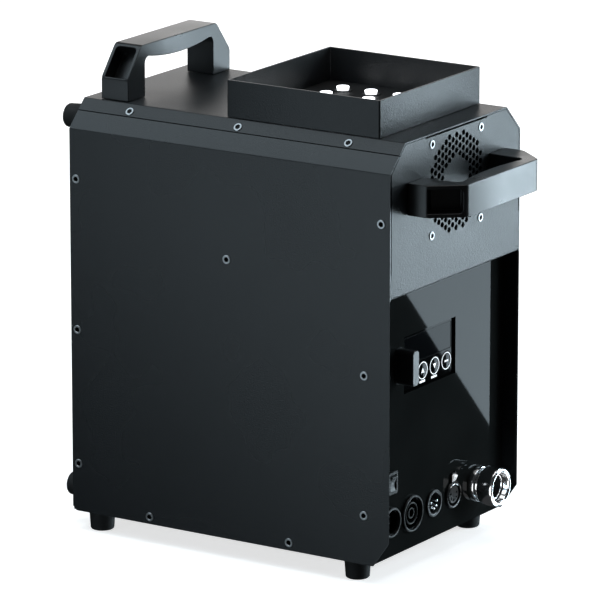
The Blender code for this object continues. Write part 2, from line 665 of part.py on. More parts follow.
def xlr_sockets(shades):
    x = XLR_X[0]
    centre = (x, PANEL, SOCKET_Z)
    radius, back = XLR_RADIUS, 0.020
    profile = [
        (0.0, back), (radius - 0.0015, back), (radius - 0.0015, -GAP), (radius, -GAP), (radius, -0.0012),
        (radius - 0.0008, -0.0020), (0.0093, -0.0020), (0.0093, 0.012), (0.0, 0.012),
    ]
    male = lathe("xlr_male", profile, 24, centre, shades["connector_black"])
    for k in range(5):
        turn = radians(-90 + (k - 2) * 52)
        px, pz = 0.0052 * cos(turn), 0.0052 * sin(turn)
        bm = bmesh.new()
        pin = [(0.0, 0.014), (0.0010, 0.014), (0.0010, 0.0010), (0.0006, 0.0), (0.0, 0.0)]
        add_lathe(bm, pin, 8, (x + px, PANEL, SOCKET_Z + pz))
        combine(male, bm, "UNION")

    x = XLR_X[1]
    centre = (x, PANEL, SOCKET_Z)
    groove_in, groove_out = 0.0082, 0.0104
    profile = [
        (0.0, back), (radius - 0.0015, back), (radius - 0.0015, -GAP), (radius, -GAP), (radius, -0.0012),
        (radius - 0.0008, -0.0020), (groove_out, -0.0020), (groove_out, 0.012), (groove_in, 0.012),
        (groove_in, -0.0014), (0.0, -0.0014),
    ]
    female = lathe("xlr_female", profile, 24, centre, shades["connector_black"])
    lug = 0.0042
    lug_top = SOCKET_Z + 0.0202
    join_boxes(female, [((x - lug, PANEL - 0.0020, SOCKET_Z + 0.0108), (x + lug, PANEL + 0.0120, lug_top))])
    well = 0.0033
    well_low = SOCKET_Z + 0.0112
    cut_boxes(female, [((x - well, PANEL - 0.010, well_low), (x + well, PANEL + 0.0060, lug_top - 0.0008))])
    holes = []
    for k in range(5):
        turn = radians(-90 + (k - 2) * 52)
        holes.append((x + 0.0052 * cos(turn), SOCKET_Z + 0.0052 * sin(turn), 0.0011))
    cut_rounds(female, holes, PANEL - 0.01, PANEL + 0.010, 8)
    # The release tab rocks about a pin across its lower end.
    hinge = (x, PANEL + 0.0010, well_low + 0.0016)
    tab_top = lug_top - 0.0014 - hinge[2]
    outline = [(-0.0013, -0.0013), (-0.0030, 0.0005), (-0.0047, 0.0030), (-0.0047, tab_top - 0.0015),
               (-0.0036, tab_top), (-0.0005, tab_top), (0.0013, 0.0010), (0.0010, -0.0012)]
    outline = [(hinge[1] + y, hinge[2] + up) for y, up in outline]
    bm = bmesh.new()
    add_prism(bm, outline, "X", x - well + 0.0004, x + well - 0.0004)
    link("xlr_latch", bm, shades["chrome"], hinge)


# ---------------------------------------------------------------- hose coupler
def coupler(shades):
    """Quick-release hose coupler: fixed body, sprung outer sleeve, valve and panel nut."""
    centre = (COUPLER_X, PANEL, SOCKET_Z)
    mouth, tube = 0.0103, 0.0118
    front = -0.0200
    flange, thick = COUPLER_FLANGE
    profile = [
        (mouth, front + 0.0003), (mouth + 0.0003, front), (tube - 0.0002, front), (tube, front + 0.0002),
        (tube, -thick), (flange - 0.0010, -thick), (flange, -thick + 0.0010), (flange, -GAP), (0.0100, -GAP),
        (0.0100, 0.0160),
        (0.0065, 0.0160), (0.0065, 0.0285), (0.0030, 0.0285), (0.0030, 0.0080), (0.0078, 0.0080),
        (0.0078, -0.0060), (0.0048, -0.0060), (0.0048, -0.0090), (mouth, -0.0090),
    ]
    lathe("coupler_body", profile, 24, centre, shades["chrome"])

    # The sleeve stands out past the tube; its mouth opens like a funnel and its lip is rounded.
    outer, bore, pocket = 0.0182, tube + 0.0004, 0.0152
    start, end, seat = -0.0262, -0.0100, -0.0180
    lip, round_back = 0.0021, 0.0018
    outside = []
    for k in range(7):
        turn = radians(-60 + 150 * k / 6)
        outside.append((outer - lip + lip * sin(turn), start + lip * (1 - cos(turn))))
    for k in range(1, 4):
        turn = pi / 2 * k / 3
        outside.append((outer - round_back + round_back * cos(turn), end - round_back * (1 - sin(turn))))
    profile = [(bore, seat), (bore, -0.0196), (0.0136, -0.0205)]
    profile += outside + [(pocket, end), (pocket, seat)]
    lathe("coupler_sleeve", profile, 28, centre, shades["chrome"])

    # The return spring is drawn at the length that it has with the sleeve pulled back.
    wire, mean, turns, around, sides = 0.0005, 0.0134, 3.0, 12, 5
    low, high = seat + SLEEVE_TRAVEL + 0.0008, -thick - 0.0010
    bm = bmesh.new()
    rings = []
    count = int(turns * around)
    for k in range(count + 1):
        turn = 2 * pi * k / around
        along = low + (high - low) * k / count
        spoke = Vector((cos(turn), 0.0, sin(turn)))
        point = Vector(centre) + spoke * mean + Vector((0.0, along, 0.0))
        ring = []
        for s in range(sides):
            swing = 2 * pi * s / sides
            ring.append(bm.verts.new(point + spoke * wire * cos(swing) + Vector((0.0, wire * sin(swing), 0.0))))
        rings.append(ring)
    for one, two in zip(rings, rings[1:]):
        for s in range(sides):
            t = (s + 1) % sides
            bm.faces.new((one[s], one[t], two[t], two[s]))
    bm.faces.new(rings[0])
    bm.faces.new(reversed(rings[-1]))
    shade_round(link("coupler_spring", bm, shades["steel"], centre))

    valve = [
        (0.0, -0.0125), (0.0022, -0.0125), (0.0022, -0.0055), (0.0070, -0.0055), (0.0070, -0.0030), (0.0, -0.0030),
    ]
    lathe("coupler_valve", valve, 20, centre, shades["steel"])

    start, end = SHEET + GAP, SHEET + GAP + 0.007
    bm = bmesh.new()
    six = [(COUPLER_X + 0.0150 * cos(k * pi / 3), SOCKET_Z + 0.0150 * sin(k * pi / 3)) for k in range(6)]
    add_prism(bm, six, "Y", PANEL + start, PANEL + end)
    nut = link("coupler_nut", bm, shades["steel"], centre)
    cut_rounds(nut, [(COUPLER_X, SOCKET_Z, 0.0103)], PANEL, PANEL + 0.02)


# ---------------------------------------------------------------- inside the case
def tube(name, route, radius, shade):
    """Hose along a smooth curve through the given points."""
    points = [Vector(p) for p in route]
    guide = [points[0] * 2 - points[1]] + points + [points[-1] * 2 - points[-2]]
    smooth = []
    steps = 3
    for a, b, c, d in zip(guide, guide[1:], guide[2:], guide[3:]):
        for k in range(steps):
            t = k / steps
            smooth.append(0.5 * (2 * b + (c - a) * t + (2 * a - 5 * b + 4 * c - d) * t * t
                                 + (3 * b - a - 3 * c + d) * t ** 3))
    smooth.append(points[-1])
    curve = bpy.data.curves.new(name, "CURVE")
    curve.dimensions = "3D"
    spline = curve.splines.new("POLY")
    spline.points.add(len(smooth) - 1)
    for point, place in zip(spline.points, smooth):
        point.co = (*place, 1.0)
    curve.bevel_depth = radius
    curve.bevel_resolution = 2
    curve.use_fill_caps = True
    curve.materials.append(shade)
    bpy.context.scene.collection.objects.link(bpy.data.objects.new(name, curve))


def heater(shades, nozzle_low):
    """Cast block with two heating rods in a vented steel shroud; the nozzle stands on its top."""
    x, y = OUTLET
    heater_top = nozzle_low - GAP
    heater_low = heater_top - HEATER_HEIGHT
    shroud_low = heater_low - 0.0065
    half, wall = SHROUD_HALF, 0.0012
    core = 0.034
    block = box("heater_block", (x - core, y - core, heater_low), (x + core, y + core, heater_top),
                shades["aluminium"])
    stand = 0.006
    stand_low = shroud_low + wall + GAP
    join_boxes(block, [
        ((x + sx * (core - stand / 2) - stand / 2, y + sy * (core - stand / 2) - stand / 2, stand_low),
         (x + sx * (core - stand / 2) + stand / 2, y + sy * (core - stand / 2) + stand / 2, heater_low + 0.001))
        for sx in (-1, 1) for sy in (-1, 1)
    ])
    cut_rounds(block, [(x, y, 0.0045)], heater_top - 0.030, heater_top + 0.01, 12, "Z")
    rod_x, rod_radius, rod_length = 0.018, 0.0060, 0.145
    wells = [(x + side * rod_x, y, rod_radius + GAP) for side in (-1, 1)]
    cut_rounds(block, wells, heater_low - 0.01, heater_low + rod_length + 0.002, 12, "Z")
    for number, side in enumerate((-1, 1), 1):
        rod = [(0.0, heater_low - 0.004), (rod_radius, heater_low - 0.004),
               (rod_radius, heater_low + rod_length), (0.0, heater_low + rod_length)]
        lathe(f"heating_rod_{number}", rod, 12, (x + side * rod_x, y, 0.0), shades["steel"], "Z")

    shroud = box("heat_shroud", (x - half, y - half, shroud_low), (x + half, y + half, heater_top - 0.004),
                 shades["steel"])
    cut_boxes(shroud, [((x - half + wall, y - half + wall, shroud_low + wall),
                        (x + half - wall, y + half - wall, heater_top + 0.01))])
    vents = []
    for row in range(5):
        z = shroud_low + VENT_STEP * (row + 1)
        vents.append(((x - 0.030, y - half - 0.01, z), (x + 0.030, y + half + 0.01, z + 0.010)))
    cut_boxes(shroud, vents)

    disc = [(0.0, 0.0), (0.0080, 0.0), (0.0080, 0.0050), (0.0050, 0.0050), (0.0050, 0.0090), (0.0, 0.0090)]
    lathe("thermal_cut_out", disc, 20, (x, y + core + GAP, heater_low + 0.140), shades["aluminium"])
    return shroud_low, (x, y + core + GAP, shroud_low + 2 * VENT_STEP + 0.005)


def electronics(shades, shroud_low, wall_y):
    """Bulkhead between the hot side and the electronics, with the supply and the board on it."""
    x, y = OUTLET
    bulkhead = box("bulkhead", (-0.100, wall_y, GROUND), (0.100, wall_y + SHEET, FLOOR + 0.320),
                   shades["steel"])
    shelf_top = shroud_low - GAP
    join_boxes(bulkhead, [
        ((-0.099, wall_y + 0.0007, GROUND), (0.099, wall_y + 0.014, GROUND + SHEET)),
        ((x - SHROUD_HALF, y - SHROUD_HALF, shelf_top - SHEET), (x + SHROUD_HALF, wall_y + 0.0007, shelf_top)),
    ])
    cut_rounds(bulkhead, [(*FEED_HOLE, 0.008), (*PRESSURE_HOLE, 0.008)], wall_y - 0.01, wall_y + 0.01, 16)

    face = wall_y + SHEET + 0.006
    low, high = FLOOR + 0.150, FLOOR + 0.310
    supply = box("power_supply", (-0.090, face, low), (0.020, face + 0.040, high), shades["aluminium"])
    cut_boxes(supply, [((-0.085, face + 0.024, low - 0.005), (0.015, face + 0.045, low + 0.018))])
    board = box("main_board", (0.030, face, low), (0.095, face + 0.0016, high), shades["circuit_board"])
    base = face + 0.0008
    join_boxes(board, [
        ((0.036, base, low + 0.120), (0.058, face + 0.016, low + 0.150)),
        ((0.064, base, low + 0.120), (0.086, face + 0.016, low + 0.150)),
        ((0.044, base, low + 0.055), (0.068, face + 0.004, low + 0.079)),
        ((0.036, base, low + 0.005), (0.090, face + 0.010, low + 0.015)),
    ])


def pump_and_hoses(shades, wall_y, port):
    """Solenoid pump on the floor; one hose from the coupler, one up to the heater."""
    px, py = 0.060, REAR - 0.075
    base = GROUND + 0.002
    neck = 0.0150
    profile = [
        (0.0, 0.0), (0.0250, 0.0), (0.0250, 0.0030), (neck, 0.0030), (neck, 0.0160), (0.0240, 0.0160),
        (0.0240, 0.0560), (0.0120, 0.0560), (0.0120, 0.0640), (0.0040, 0.0640), (0.0040, 0.0760), (0.0, 0.0760),
    ]
    lathe("pump", profile, 24, (px, py, base), shades["steel"], "Z")
    stub_z = base + 0.0095
    tail = PANEL + 0.0285
    tube("feed_hose", [
        (COUPLER_X, tail + GAP, SOCKET_Z), (COUPLER_X, tail + 0.012, SOCKET_Z), (COUPLER_X, tail + 0.030, SOCKET_Z),
        (COUPLER_X + 0.001, wall_y - 0.050, SOCKET_Z - 0.004), (FEED_HOLE[0], wall_y - 0.016, FEED_HOLE[1] + 0.001),
        (FEED_HOLE[0], wall_y, FEED_HOLE[1]), (px + 0.002, wall_y + 0.024, 0.0370),
        (px, py - 0.038, stub_z + 0.001), (px, py - 0.028, stub_z), (px, py - neck - GAP, stub_z),
    ], 0.0032, shades["hose"])
    out = base + 0.0760 + GAP
    hole_x, hole_z = PRESSURE_HOLE
    tube("pressure_hose", [
        (px, py, out), (px, py, out + 0.006), (px, py, out + 0.015), (px + 0.001, py - 0.030, hole_z - 0.004),
        (hole_x, wall_y + 0.015, hole_z), (hole_x, wall_y, hole_z), (hole_x, wall_y - 0.012, hole_z + 0.010),
        (hole_x - 0.005, wall_y - 0.014, hole_z + 0.045), (hole_x - 0.025, wall_y - 0.014, port[2] - 0.006),
        (hole_x - 0.050, wall_y - 0.018, port[2]), (port[0] + 0.003, port[1] + 0.020, port[2]),
        (port[0], port[1] + 0.008, port[2]), port,
    ], 0.0028, shades["hose"])


def internals(shades, nozzle_low):
    wall_y = OUTLET[1] + 0.078
    shroud_low, port = heater(shades, nozzle_low)
    electronics(shades, shroud_low, wall_y)
    pump_and_hoses(shades, wall_y, port)


# ---------------------------------------------------------------- assembly
def main():
    for thing in list(bpy.data.objects):
        bpy.data.objects.remove(thing, do_unlink=True)
    shades = make_materials()
    coat = shades["powder_coat"]
    side_panel("left_side_panel", -1, coat)
    side_panel("right_side_panel", 1, coat)
    top_cover(coat)
    front_panel(coat)
    control_panel(shades["gloss_panel"])
    rear_panel(coat)
    base_plate(coat)
    outlet_collar(coat)
    nozzle_low = outlet_pieces(shades)
    handles(shades)
    feet(shades)
    fan(shades)
    display_pieces(shades)
    plug_in_module(shades)
    rocker_switch(shades)
    power_sockets(shades)
    xlr_sockets(shades)
    coupler(shades)
    internals(shades, nozzle_low)


main()
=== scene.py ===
"""Looks of the fog machine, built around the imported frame: refined pieces, materials, light, camera."""

from math import cos, pi, radians, sin, sqrt, tan

import bmesh
import bpy
from mathutils import Matrix, Vector


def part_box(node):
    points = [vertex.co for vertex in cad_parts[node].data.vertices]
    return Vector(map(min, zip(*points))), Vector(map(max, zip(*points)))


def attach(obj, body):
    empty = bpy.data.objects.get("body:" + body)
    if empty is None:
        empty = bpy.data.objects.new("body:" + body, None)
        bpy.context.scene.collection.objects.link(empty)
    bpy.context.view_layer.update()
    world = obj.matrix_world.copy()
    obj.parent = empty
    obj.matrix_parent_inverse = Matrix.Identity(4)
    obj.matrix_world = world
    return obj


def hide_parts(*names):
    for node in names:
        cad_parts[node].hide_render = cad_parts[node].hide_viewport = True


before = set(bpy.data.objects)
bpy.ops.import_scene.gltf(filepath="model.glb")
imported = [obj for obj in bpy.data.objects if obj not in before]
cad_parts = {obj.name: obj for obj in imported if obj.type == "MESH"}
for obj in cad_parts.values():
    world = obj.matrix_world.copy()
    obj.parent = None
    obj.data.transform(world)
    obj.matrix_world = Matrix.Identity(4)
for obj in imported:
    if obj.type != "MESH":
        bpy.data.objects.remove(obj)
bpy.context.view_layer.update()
scene = bpy.context.scene

# ---------------------------------------------------------------- places taken from the frame
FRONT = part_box("left_side_panel")[0].y
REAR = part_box("left_side_panel")[1].y
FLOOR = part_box("left_side_panel")[0].z
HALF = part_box("right_side_panel")[1].x
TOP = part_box("top_cover")[1].z
PANEL_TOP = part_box("front_panel")[0].z
SHEET = 0.0015                      # thickness of the case sheets
GAP = 0.0003                        # air between neighbouring sheets
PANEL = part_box("control_panel")[0].y
INNER_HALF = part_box("front_panel")[1].x
CHAMFER = 0.024                     # leg of the sloping shoulder between side and top
SEAM_SHARE = 0.014                  # part of that leg that belongs to the side panel
FOLD = TOP - CHAMFER
FAN_Z = (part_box("fan_frame")[0].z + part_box("fan_frame")[1].z) / 2
FAN_SCREW = 0.0825 / 2              # half the pitch of the fan's screws
BEND = 0.0022                       # outer radius of the folded edges
EDGE_START = (-0.0575, 0.2545)      # x and z of two points where the glossy panel
EDGE_END = (0.0823, 0.1051)         # mirrors the lower left edge of the right light
COOL = (0.74, 0.90, 1.0)            # colour of most lights


def middle(node):
    low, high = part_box(node)
    return (low + high) / 2


# ---------------------------------------------------------------- materials
class Shade:
    """A Principled material with procedural detail in object space."""

    def __init__(self, name, roughness, metallic=0.0, ior=1.5):
        self.material = bpy.data.materials.new(name)
        self.material.use_nodes = True
        self.tree = self.material.node_tree
        self.shader = self.tree.nodes["Principled BSDF"]
        self.shader.inputs["Roughness"].default_value = roughness
        self.shader.inputs["Metallic"].default_value = metallic
        self.shader.inputs["IOR"].default_value = ior
        self.place = self.tree.nodes.new("ShaderNodeTexCoord").outputs["Object"]
        self.height = None

    def noise(self, scale, detail=2.0, rough=0.5, stretch=None):
        place = self.place
        if stretch:
            mapping = self.tree.nodes.new("ShaderNodeMapping")
            mapping.inputs["Scale"].default_value = stretch
            self.tree.links.new(place, mapping.inputs["Vector"])
            place = mapping.outputs["Vector"]
        node = self.tree.nodes.new("ShaderNodeTexNoise")
        node.inputs["Scale"].default_value = scale
        node.inputs["Detail"].default_value = detail
        node.inputs["Roughness"].default_value = rough
        self.tree.links.new(place, node.inputs["Vector"])
        return node.outputs["Fac"]

    def cells(self, scale):
        node = self.tree.nodes.new("ShaderNodeTexVoronoi")
        node.inputs["Scale"].default_value = scale
        self.tree.links.new(self.place, node.inputs["Vector"])
        return node.outputs["Distance"]

    def ramp(self, fac, stops):
        node = self.tree.nodes.new("ShaderNodeValToRGB")
        points = node.color_ramp.elements
        while len(points) < len(stops):
            points.new(0.5)
        for point, (position, colour) in zip(points, stops):
            point.position = position
            point.color = (*colour, 1.0)
        self.tree.links.new(fac, node.inputs["Fac"])
        return node.outputs["Color"]

    def spread(self, fac, low, high, start=0.3, end=0.7):
        node = self.tree.nodes.new("ShaderNodeMapRange")
        node.inputs["From Min"].default_value = start
        node.inputs["From Max"].default_value = end
        node.inputs["To Min"].default_value = low
        node.inputs["To Max"].default_value = high
        self.tree.links.new(fac, node.inputs["Value"])
        return node.outputs["Result"]

    def colour(self, fac, stops):
        self.tree.links.new(self.ramp(fac, stops), self.shader.inputs["Base Color"])
        return self

    def roughness(self, fac, low, high):
        self.tree.links.new(self.spread(fac, low, high), self.shader.inputs["Roughness"])
        return self

    def bump(self, fac, strength, depth):
        node = self.tree.nodes.new("ShaderNodeBump")
        node.inputs["Strength"].default_value = strength
        node.inputs["Distance"].default_value = depth
        self.tree.links.new(fac, node.inputs["Height"])
        if self.height:
            self.tree.links.new(self.height, node.inputs["Normal"])
        self.height = node.outputs["Normal"]
        self.tree.links.new(self.height, self.shader.inputs["Normal"])
        return self

    def glow(self, colour, strength):
        self.shader.inputs["Emission Color"].default_value = (*colour, 1.0)
        self.shader.inputs["Emission Strength"].default_value = strength
        return self


def powder_coat(name, low, high):
    shade = Shade(name, low)
    grain = shade.noise(2600, 2.0)
    peel = shade.noise(700, 3.0, 0.55)
    drift = shade.noise(9, 2.0)
    shade.colour(grain, [(0.30, (0.0080, 0.0093, 0.0105)), (0.70, (0.0150, 0.0172, 0.0192))])
    shade.roughness(drift, low, high)
    return shade.bump(peel, 0.45, 0.0005).bump(grain, 0.35, 0.00015).material


def gloss_panel():
    shade = Shade("gloss_black_panel", 0.02, ior=1.095)
    drift = shade.noise(14, 3.0)
    shade.colour(drift, [(0.35, (0.0105, 0.0115, 0.0112)), (0.65, (0.0135, 0.0145, 0.0140))])
    return shade.roughness(shade.noise(400, 2.0), 0.012, 0.022).material


def satin_plastic(name, low, high, rough, texture=0.12, ior=1.5, glow=0.0):
    """Moulded plastic with a fine spark-eroded texture."""
    shade = Shade(name, rough, ior=ior)
    grain = shade.noise(3200, 2.0, 0.6)
    drift = shade.noise(25, 2.0)
    shade.colour(drift, [(0.35, low), (0.65, high)])
    shade.roughness(drift, rough - 0.03, rough + 0.03)
    # glow is emission: painted light on a part that is no lamp.
    if glow:
        shade.glow((1.0, 1.0, 1.0), glow)
    return shade.bump(grain, texture, 0.00012).material


def rubber():
    shade = Shade("rubber_black", 0.75)
    grain = shade.noise(1500, 3.0, 0.6)
    shade.colour(grain, [(0.35, (0.006, 0.006, 0.006)), (0.70, (0.012, 0.012, 0.012))])
    shade.roughness(shade.noise(120), 0.68, 0.82)
    return shade.bump(grain, 0.30, 0.0002).material


def metal(name, colour, rough, streak=None, scale=300, strength=0.05, spread=0.06):
    shade = Shade(name, rough, 1.0)
    mark = shade.noise(scale, 3.0, 0.6, streak)
    dark = tuple(c * 0.90 for c in colour)
    shade.colour(mark, [(0.35, dark), (0.65, colour)])
    shade.roughness(mark, max(0.02, rough - spread), rough + spread)
    return shade.bump(mark, strength, 0.0001).material


def glowing_lens():
    shade = Shade("lens_lit", 0.12)
    cell = shade.cells(900)
    shade.colour(cell, [(0.1, (0.80, 0.85, 0.90)), (0.9, (0.95, 0.97, 1.00))])
    return shade.glow((0.94, 0.97, 1.0), 3.0).bump(cell, 0.2, 0.0003).material


def print_with_painted_glow():
    shade = Shade("print_white", 0.40)
    shade.colour(shade.noise(900), [(0.3, (0.72, 0.74, 0.75)), (0.7, (0.84, 0.85, 0.86))])
    # White print, made to glow: painted light, since print is no lamp.
    return shade.glow((0.95, 0.98, 1.0), 0.65).material


def circuit_board():
    shade = Shade("board_green", 0.40)
    trace = shade.cells(260)
    line, mask, shadow = (0.03, 0.16, 0.06), (0.012, 0.075, 0.030), (0.010, 0.060, 0.024)
    shade.colour(trace, [(0.10, line), (0.25, mask), (0.8, shadow)])
    return shade.roughness(shade.noise(500), 0.32, 0.48).material


def clear_hose():
    shade = Shade("hose_clear", 0.25)
    shade.shader.inputs["Transmission Weight"].default_value = 0.6
    shade.colour(shade.noise(60), [(0.3, (0.62, 0.66, 0.68)), (0.7, (0.74, 0.78, 0.80))])
    return shade.roughness(shade.noise(400), 0.18, 0.32).material


def screen_face():
    """Glossy display plate, a little darker than the panel around it."""
    shade = Shade("display_plate", 0.02, ior=1.085)
    shade.colour(shade.noise(18), [(0.3, (0.0022, 0.0024, 0.0026)), (0.7, (0.0032, 0.0034, 0.0036))])
    return shade.roughness(shade.noise(300), 0.014, 0.024).material


def screen_glass():
    shade = Shade("screen_glass", 0.02, ior=1.082)
    shade.colour(shade.noise(30), [(0.3, (0.0030, 0.0035, 0.0040)), (0.7, (0.0045, 0.0052, 0.0060))])
    return shade.roughness(shade.noise(250), 0.012, 0.022).material


COAT = powder_coat("powder_coat_black", 0.34, 0.39)
COAT_SIDE = powder_coat("powder_coat_side", 0.25, 0.29)
GLOSS = gloss_panel()
GRIP = satin_plastic("grip_plastic", (0.0075, 0.0080, 0.0085), (0.0105, 0.0110, 0.0118), 0.30, 0.10, 1.55)
BLACK = satin_plastic("connector_black", (0.0050, 0.0050, 0.0052), (0.0080, 0.0080, 0.0084), 0.26, 0.06)
GREY = satin_plastic("connector_grey", (0.030, 0.032, 0.033), (0.042, 0.044, 0.046), 0.40, 0.08)
# Near-black: the own colour of the lens seats and the switch surround, and painted shade in screw sockets,
# coupler bores and connector wells and holes.
DARK_AND_PAINTED_SHADE = satin_plastic("near_black_and_painted_shade", (0.0016, 0.0016, 0.0017), (0.0026, 0.0026, 0.0028), 0.60, 0.05)
KEY = satin_plastic("key_black", (0.0040, 0.0042, 0.0044), (0.0060, 0.0062, 0.0066), 0.08, 0.02, 1.25)
RUBBER = rubber()
CHROME = metal("chrome", (0.90, 0.91, 0.92), 0.14, None, 120, 0.01, 0.02)
SCREW = metal("screw_steel", (0.44, 0.45, 0.46), 0.34, None, 900, 0.08, 0.06)
STEEL = metal("steel_plain", (0.50, 0.51, 0.53), 0.32, (1.0, 1.0, 0.12), 500, 0.10, 0.08)
ALUMINIUM = metal("aluminium_milled", (0.60, 0.61, 0.63), 0.36, (0.10, 1.0, 1.0), 600, 0.12, 0.08)
LENS = glowing_lens()
PRINT_WITH_PAINTED_GLOW = print_with_painted_glow()
BOARD = circuit_board()
HOSE = clear_hose()
SCREEN = screen_glass()
FACE = screen_face()
# Lighter grey: the own colour of the switch mark and the data inlet's flange ring, and painted sheen on the
# rounded crests of the connectors.
GREY_MARK_AND_SHEEN = satin_plastic("grey_mark_and_painted_sheen", (0.012, 0.013, 0.014), (0.018, 0.019, 0.020), 0.46, 0.06, 1.40)
PIN = metal("contact_bright", (0.88, 0.89, 0.90), 0.16, None, 500, 0.03, 0.04)
# Near-white and glowing: a painted highlight that stands for the reflective latch, which is no lamp.
LATCH_PAINTED_HIGHLIGHT = satin_plastic("latch_painted_highlight", (0.80, 0.81, 0.82), (0.88, 0.89, 0.90), 0.30, 0.02, glow=0.35)
INSERT = satin_plastic("connector_insert", (0.012, 0.013, 0.013), (0.017, 0.018, 0.018), 0.46, 0.08, 1.40)
DECK = satin_plastic("deck_black", (0.0035, 0.0036, 0.0038), (0.0052, 0.0054, 0.0057), 0.55, 0.15)


# ---------------------------------------------------------------- mesh helpers
def add_box(bm, low, high):
    low, high = Vector(low), Vector(high)
    matrix = Matrix.Translation((low + high) / 2) @ Matrix.Diagonal((*(high - low), 1.0))
    bmesh.ops.create_cube(bm, size=1.0, matrix=matrix)


def add_prism(bm, outline, axis, start, end, slot=0):
    """Extrude an outline along an axis: (y, z) for X, (x, z) for Y, (x, y) for Z."""
    place = {
        "X": lambda a, b, c: (c, a, b),
        "Y": lambda a, b, c: (a, c, b),
        "Z": lambda a, b, c: (a, b, c),
    }[axis]
    ends = [[bm.verts.new(place(a, b, c)) for a, b in outline] for c in (start, end)]
    faces = [bm.faces.new(ends[0]), bm.faces.new(reversed(ends[1]))]
    for i in range(len(outline)):
        j = (i + 1) % len(outline)
        faces.append(bm.faces.new((ends[0][j], ends[0][i], ends[1][i], ends[1][j])))
    for face in faces:
        face.material_index = slot


def add_lathe(bm, profile, segments, matrix, slots=None):
    """Turn (radius, height) points about local Z; a closed loop, or from pole to pole."""
    rings = []
    for radius, height in profile:
        count = segments if radius > 0 else 1
        turns = [2 * pi * k / segments for k in range(count)]
        spots = [Vector((radius * cos(t), radius * sin(t), height)) for t in turns]
        rings.append([bm.verts.new(matrix @ spot) for spot in spots])
    pairs = list(zip(rings, rings[1:]))
    if profile[0][0] > 0:
        pairs.append((rings[-1], rings[0]))
    for number, (one, two) in enumerate(pairs):
        for k in range(segments):
            n = (k + 1) % segments
            corners = [one[k % len(one)], one[n % len(one)], two[n % len(two)], two[k % len(two)]]
            face = bm.faces.new(dict.fromkeys(corners))
            face.material_index = slots[number] if slots else 0


def facing(normal, place=(0, 0, 0), spin=0.0):
    """Matrix that puts local +Z along a normal, at a place."""
    turn = Vector((0, 0, 1)).rotation_difference(Vector(normal).normalized()).to_matrix().to_4x4()
    return Matrix.Translation(Vector(place)) @ turn @ Matrix.Rotation(spin, 4, "Z")


def arc(x, y, radius, start, end, steps):
    """Points on an arc, angles in degrees."""
    turns = [radians(start + (end - start) * k / steps) for k in range(steps + 1)]
    return [(x + radius * cos(t), y + radius * sin(t)) for t in turns]


def circle(x, y, radius, steps):
    turns = [2 * pi * k / steps for k in range(steps)]
    return [(x + radius * cos(t), y + radius * sin(t)) for t in turns]


def rounded(x, z, width, height, radius, steps=6):
    """Rectangle with rounded corners, from its middle and full sizes."""
    points = []
    for corner, (sx, sz) in enumerate(((1, 1), (-1, 1), (-1, -1), (1, -1))):
        cx, cz = x + sx * (width / 2 - radius), z + sz * (height / 2 - radius)
        points += arc(cx, cz, radius, 90 * corner, 90 * corner + 90, steps)
    return points


def link(name, bm, *materials):
    bmesh.ops.recalc_face_normals(bm, faces=bm.faces)
    mesh = bpy.data.meshes.new(name)
    bm.to_mesh(mesh)
    bm.free()
    for shade in materials:
        mesh.materials.append(shade)
    thing = bpy.data.objects.new(name, mesh)
    scene.collection.objects.link(thing)
    return thing


def prism(name, outline, axis, start, end, shade):
    bm = bmesh.new()
    add_prism(bm, outline, axis, start, end)
    return link(name, bm, shade)


def subtract(thing, tool):
    """Take the tool's body away from a piece, bake the result and remove the tool."""
    modifier = thing.modifiers.new("cut", "BOOLEAN")
    modifier.operation = "DIFFERENCE"
    modifier.solver = "EXACT"
    modifier.object = tool
    bake(thing)
    bpy.data.objects.remove(tool, do_unlink=True)


def cut(thing, bm):
    """Subtract the bodies in bm."""
    subtract(thing, link(thing.name + "_cutter", bm, *thing.data.materials))


def bake(thing):
    bpy.context.view_layer.update()
    graph = bpy.context.evaluated_depsgraph_get()
    mesh = bpy.data.meshes.new_from_object(thing.evaluated_get(graph))
    thing.modifiers.clear()
    thing.data = mesh


def bevel(thing, width, segments=2, angle=40):
    modifier = thing.modifiers.new("edges", "BEVEL")
    modifier.width = width
    modifier.segments = segments
    modifier.limit_method = "ANGLE"
    modifier.angle_limit = radians(angle)
    modifier.harden_normals = True
    modifier.use_clamp_overlap = True
    smooth(thing)
    bake(thing)


def smooth(thing, angle=35):
    thing.data.shade_smooth()
    thing.data.set_sharp_from_angle(angle=radians(angle))


def place(thing, body, slot, *nodes):
    """Ride on a body and stand for CAD nodes; the slot is not used."""
    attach(thing, body)
    if nodes:
        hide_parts(*nodes)
    return thing


def turned(name, body, slot, profile, centre, materials, slots=None, axis=(0, -1, 0), segments=64, nodes=()):
    """A lathed piece; heights run outward along the axis."""
    bm = bmesh.new()
    add_lathe(bm, profile, segments, facing(axis, centre), slots)
    thing = link(name, bm, *materials)
    smooth(thing)
    return place(thing, body, slot, *nodes)


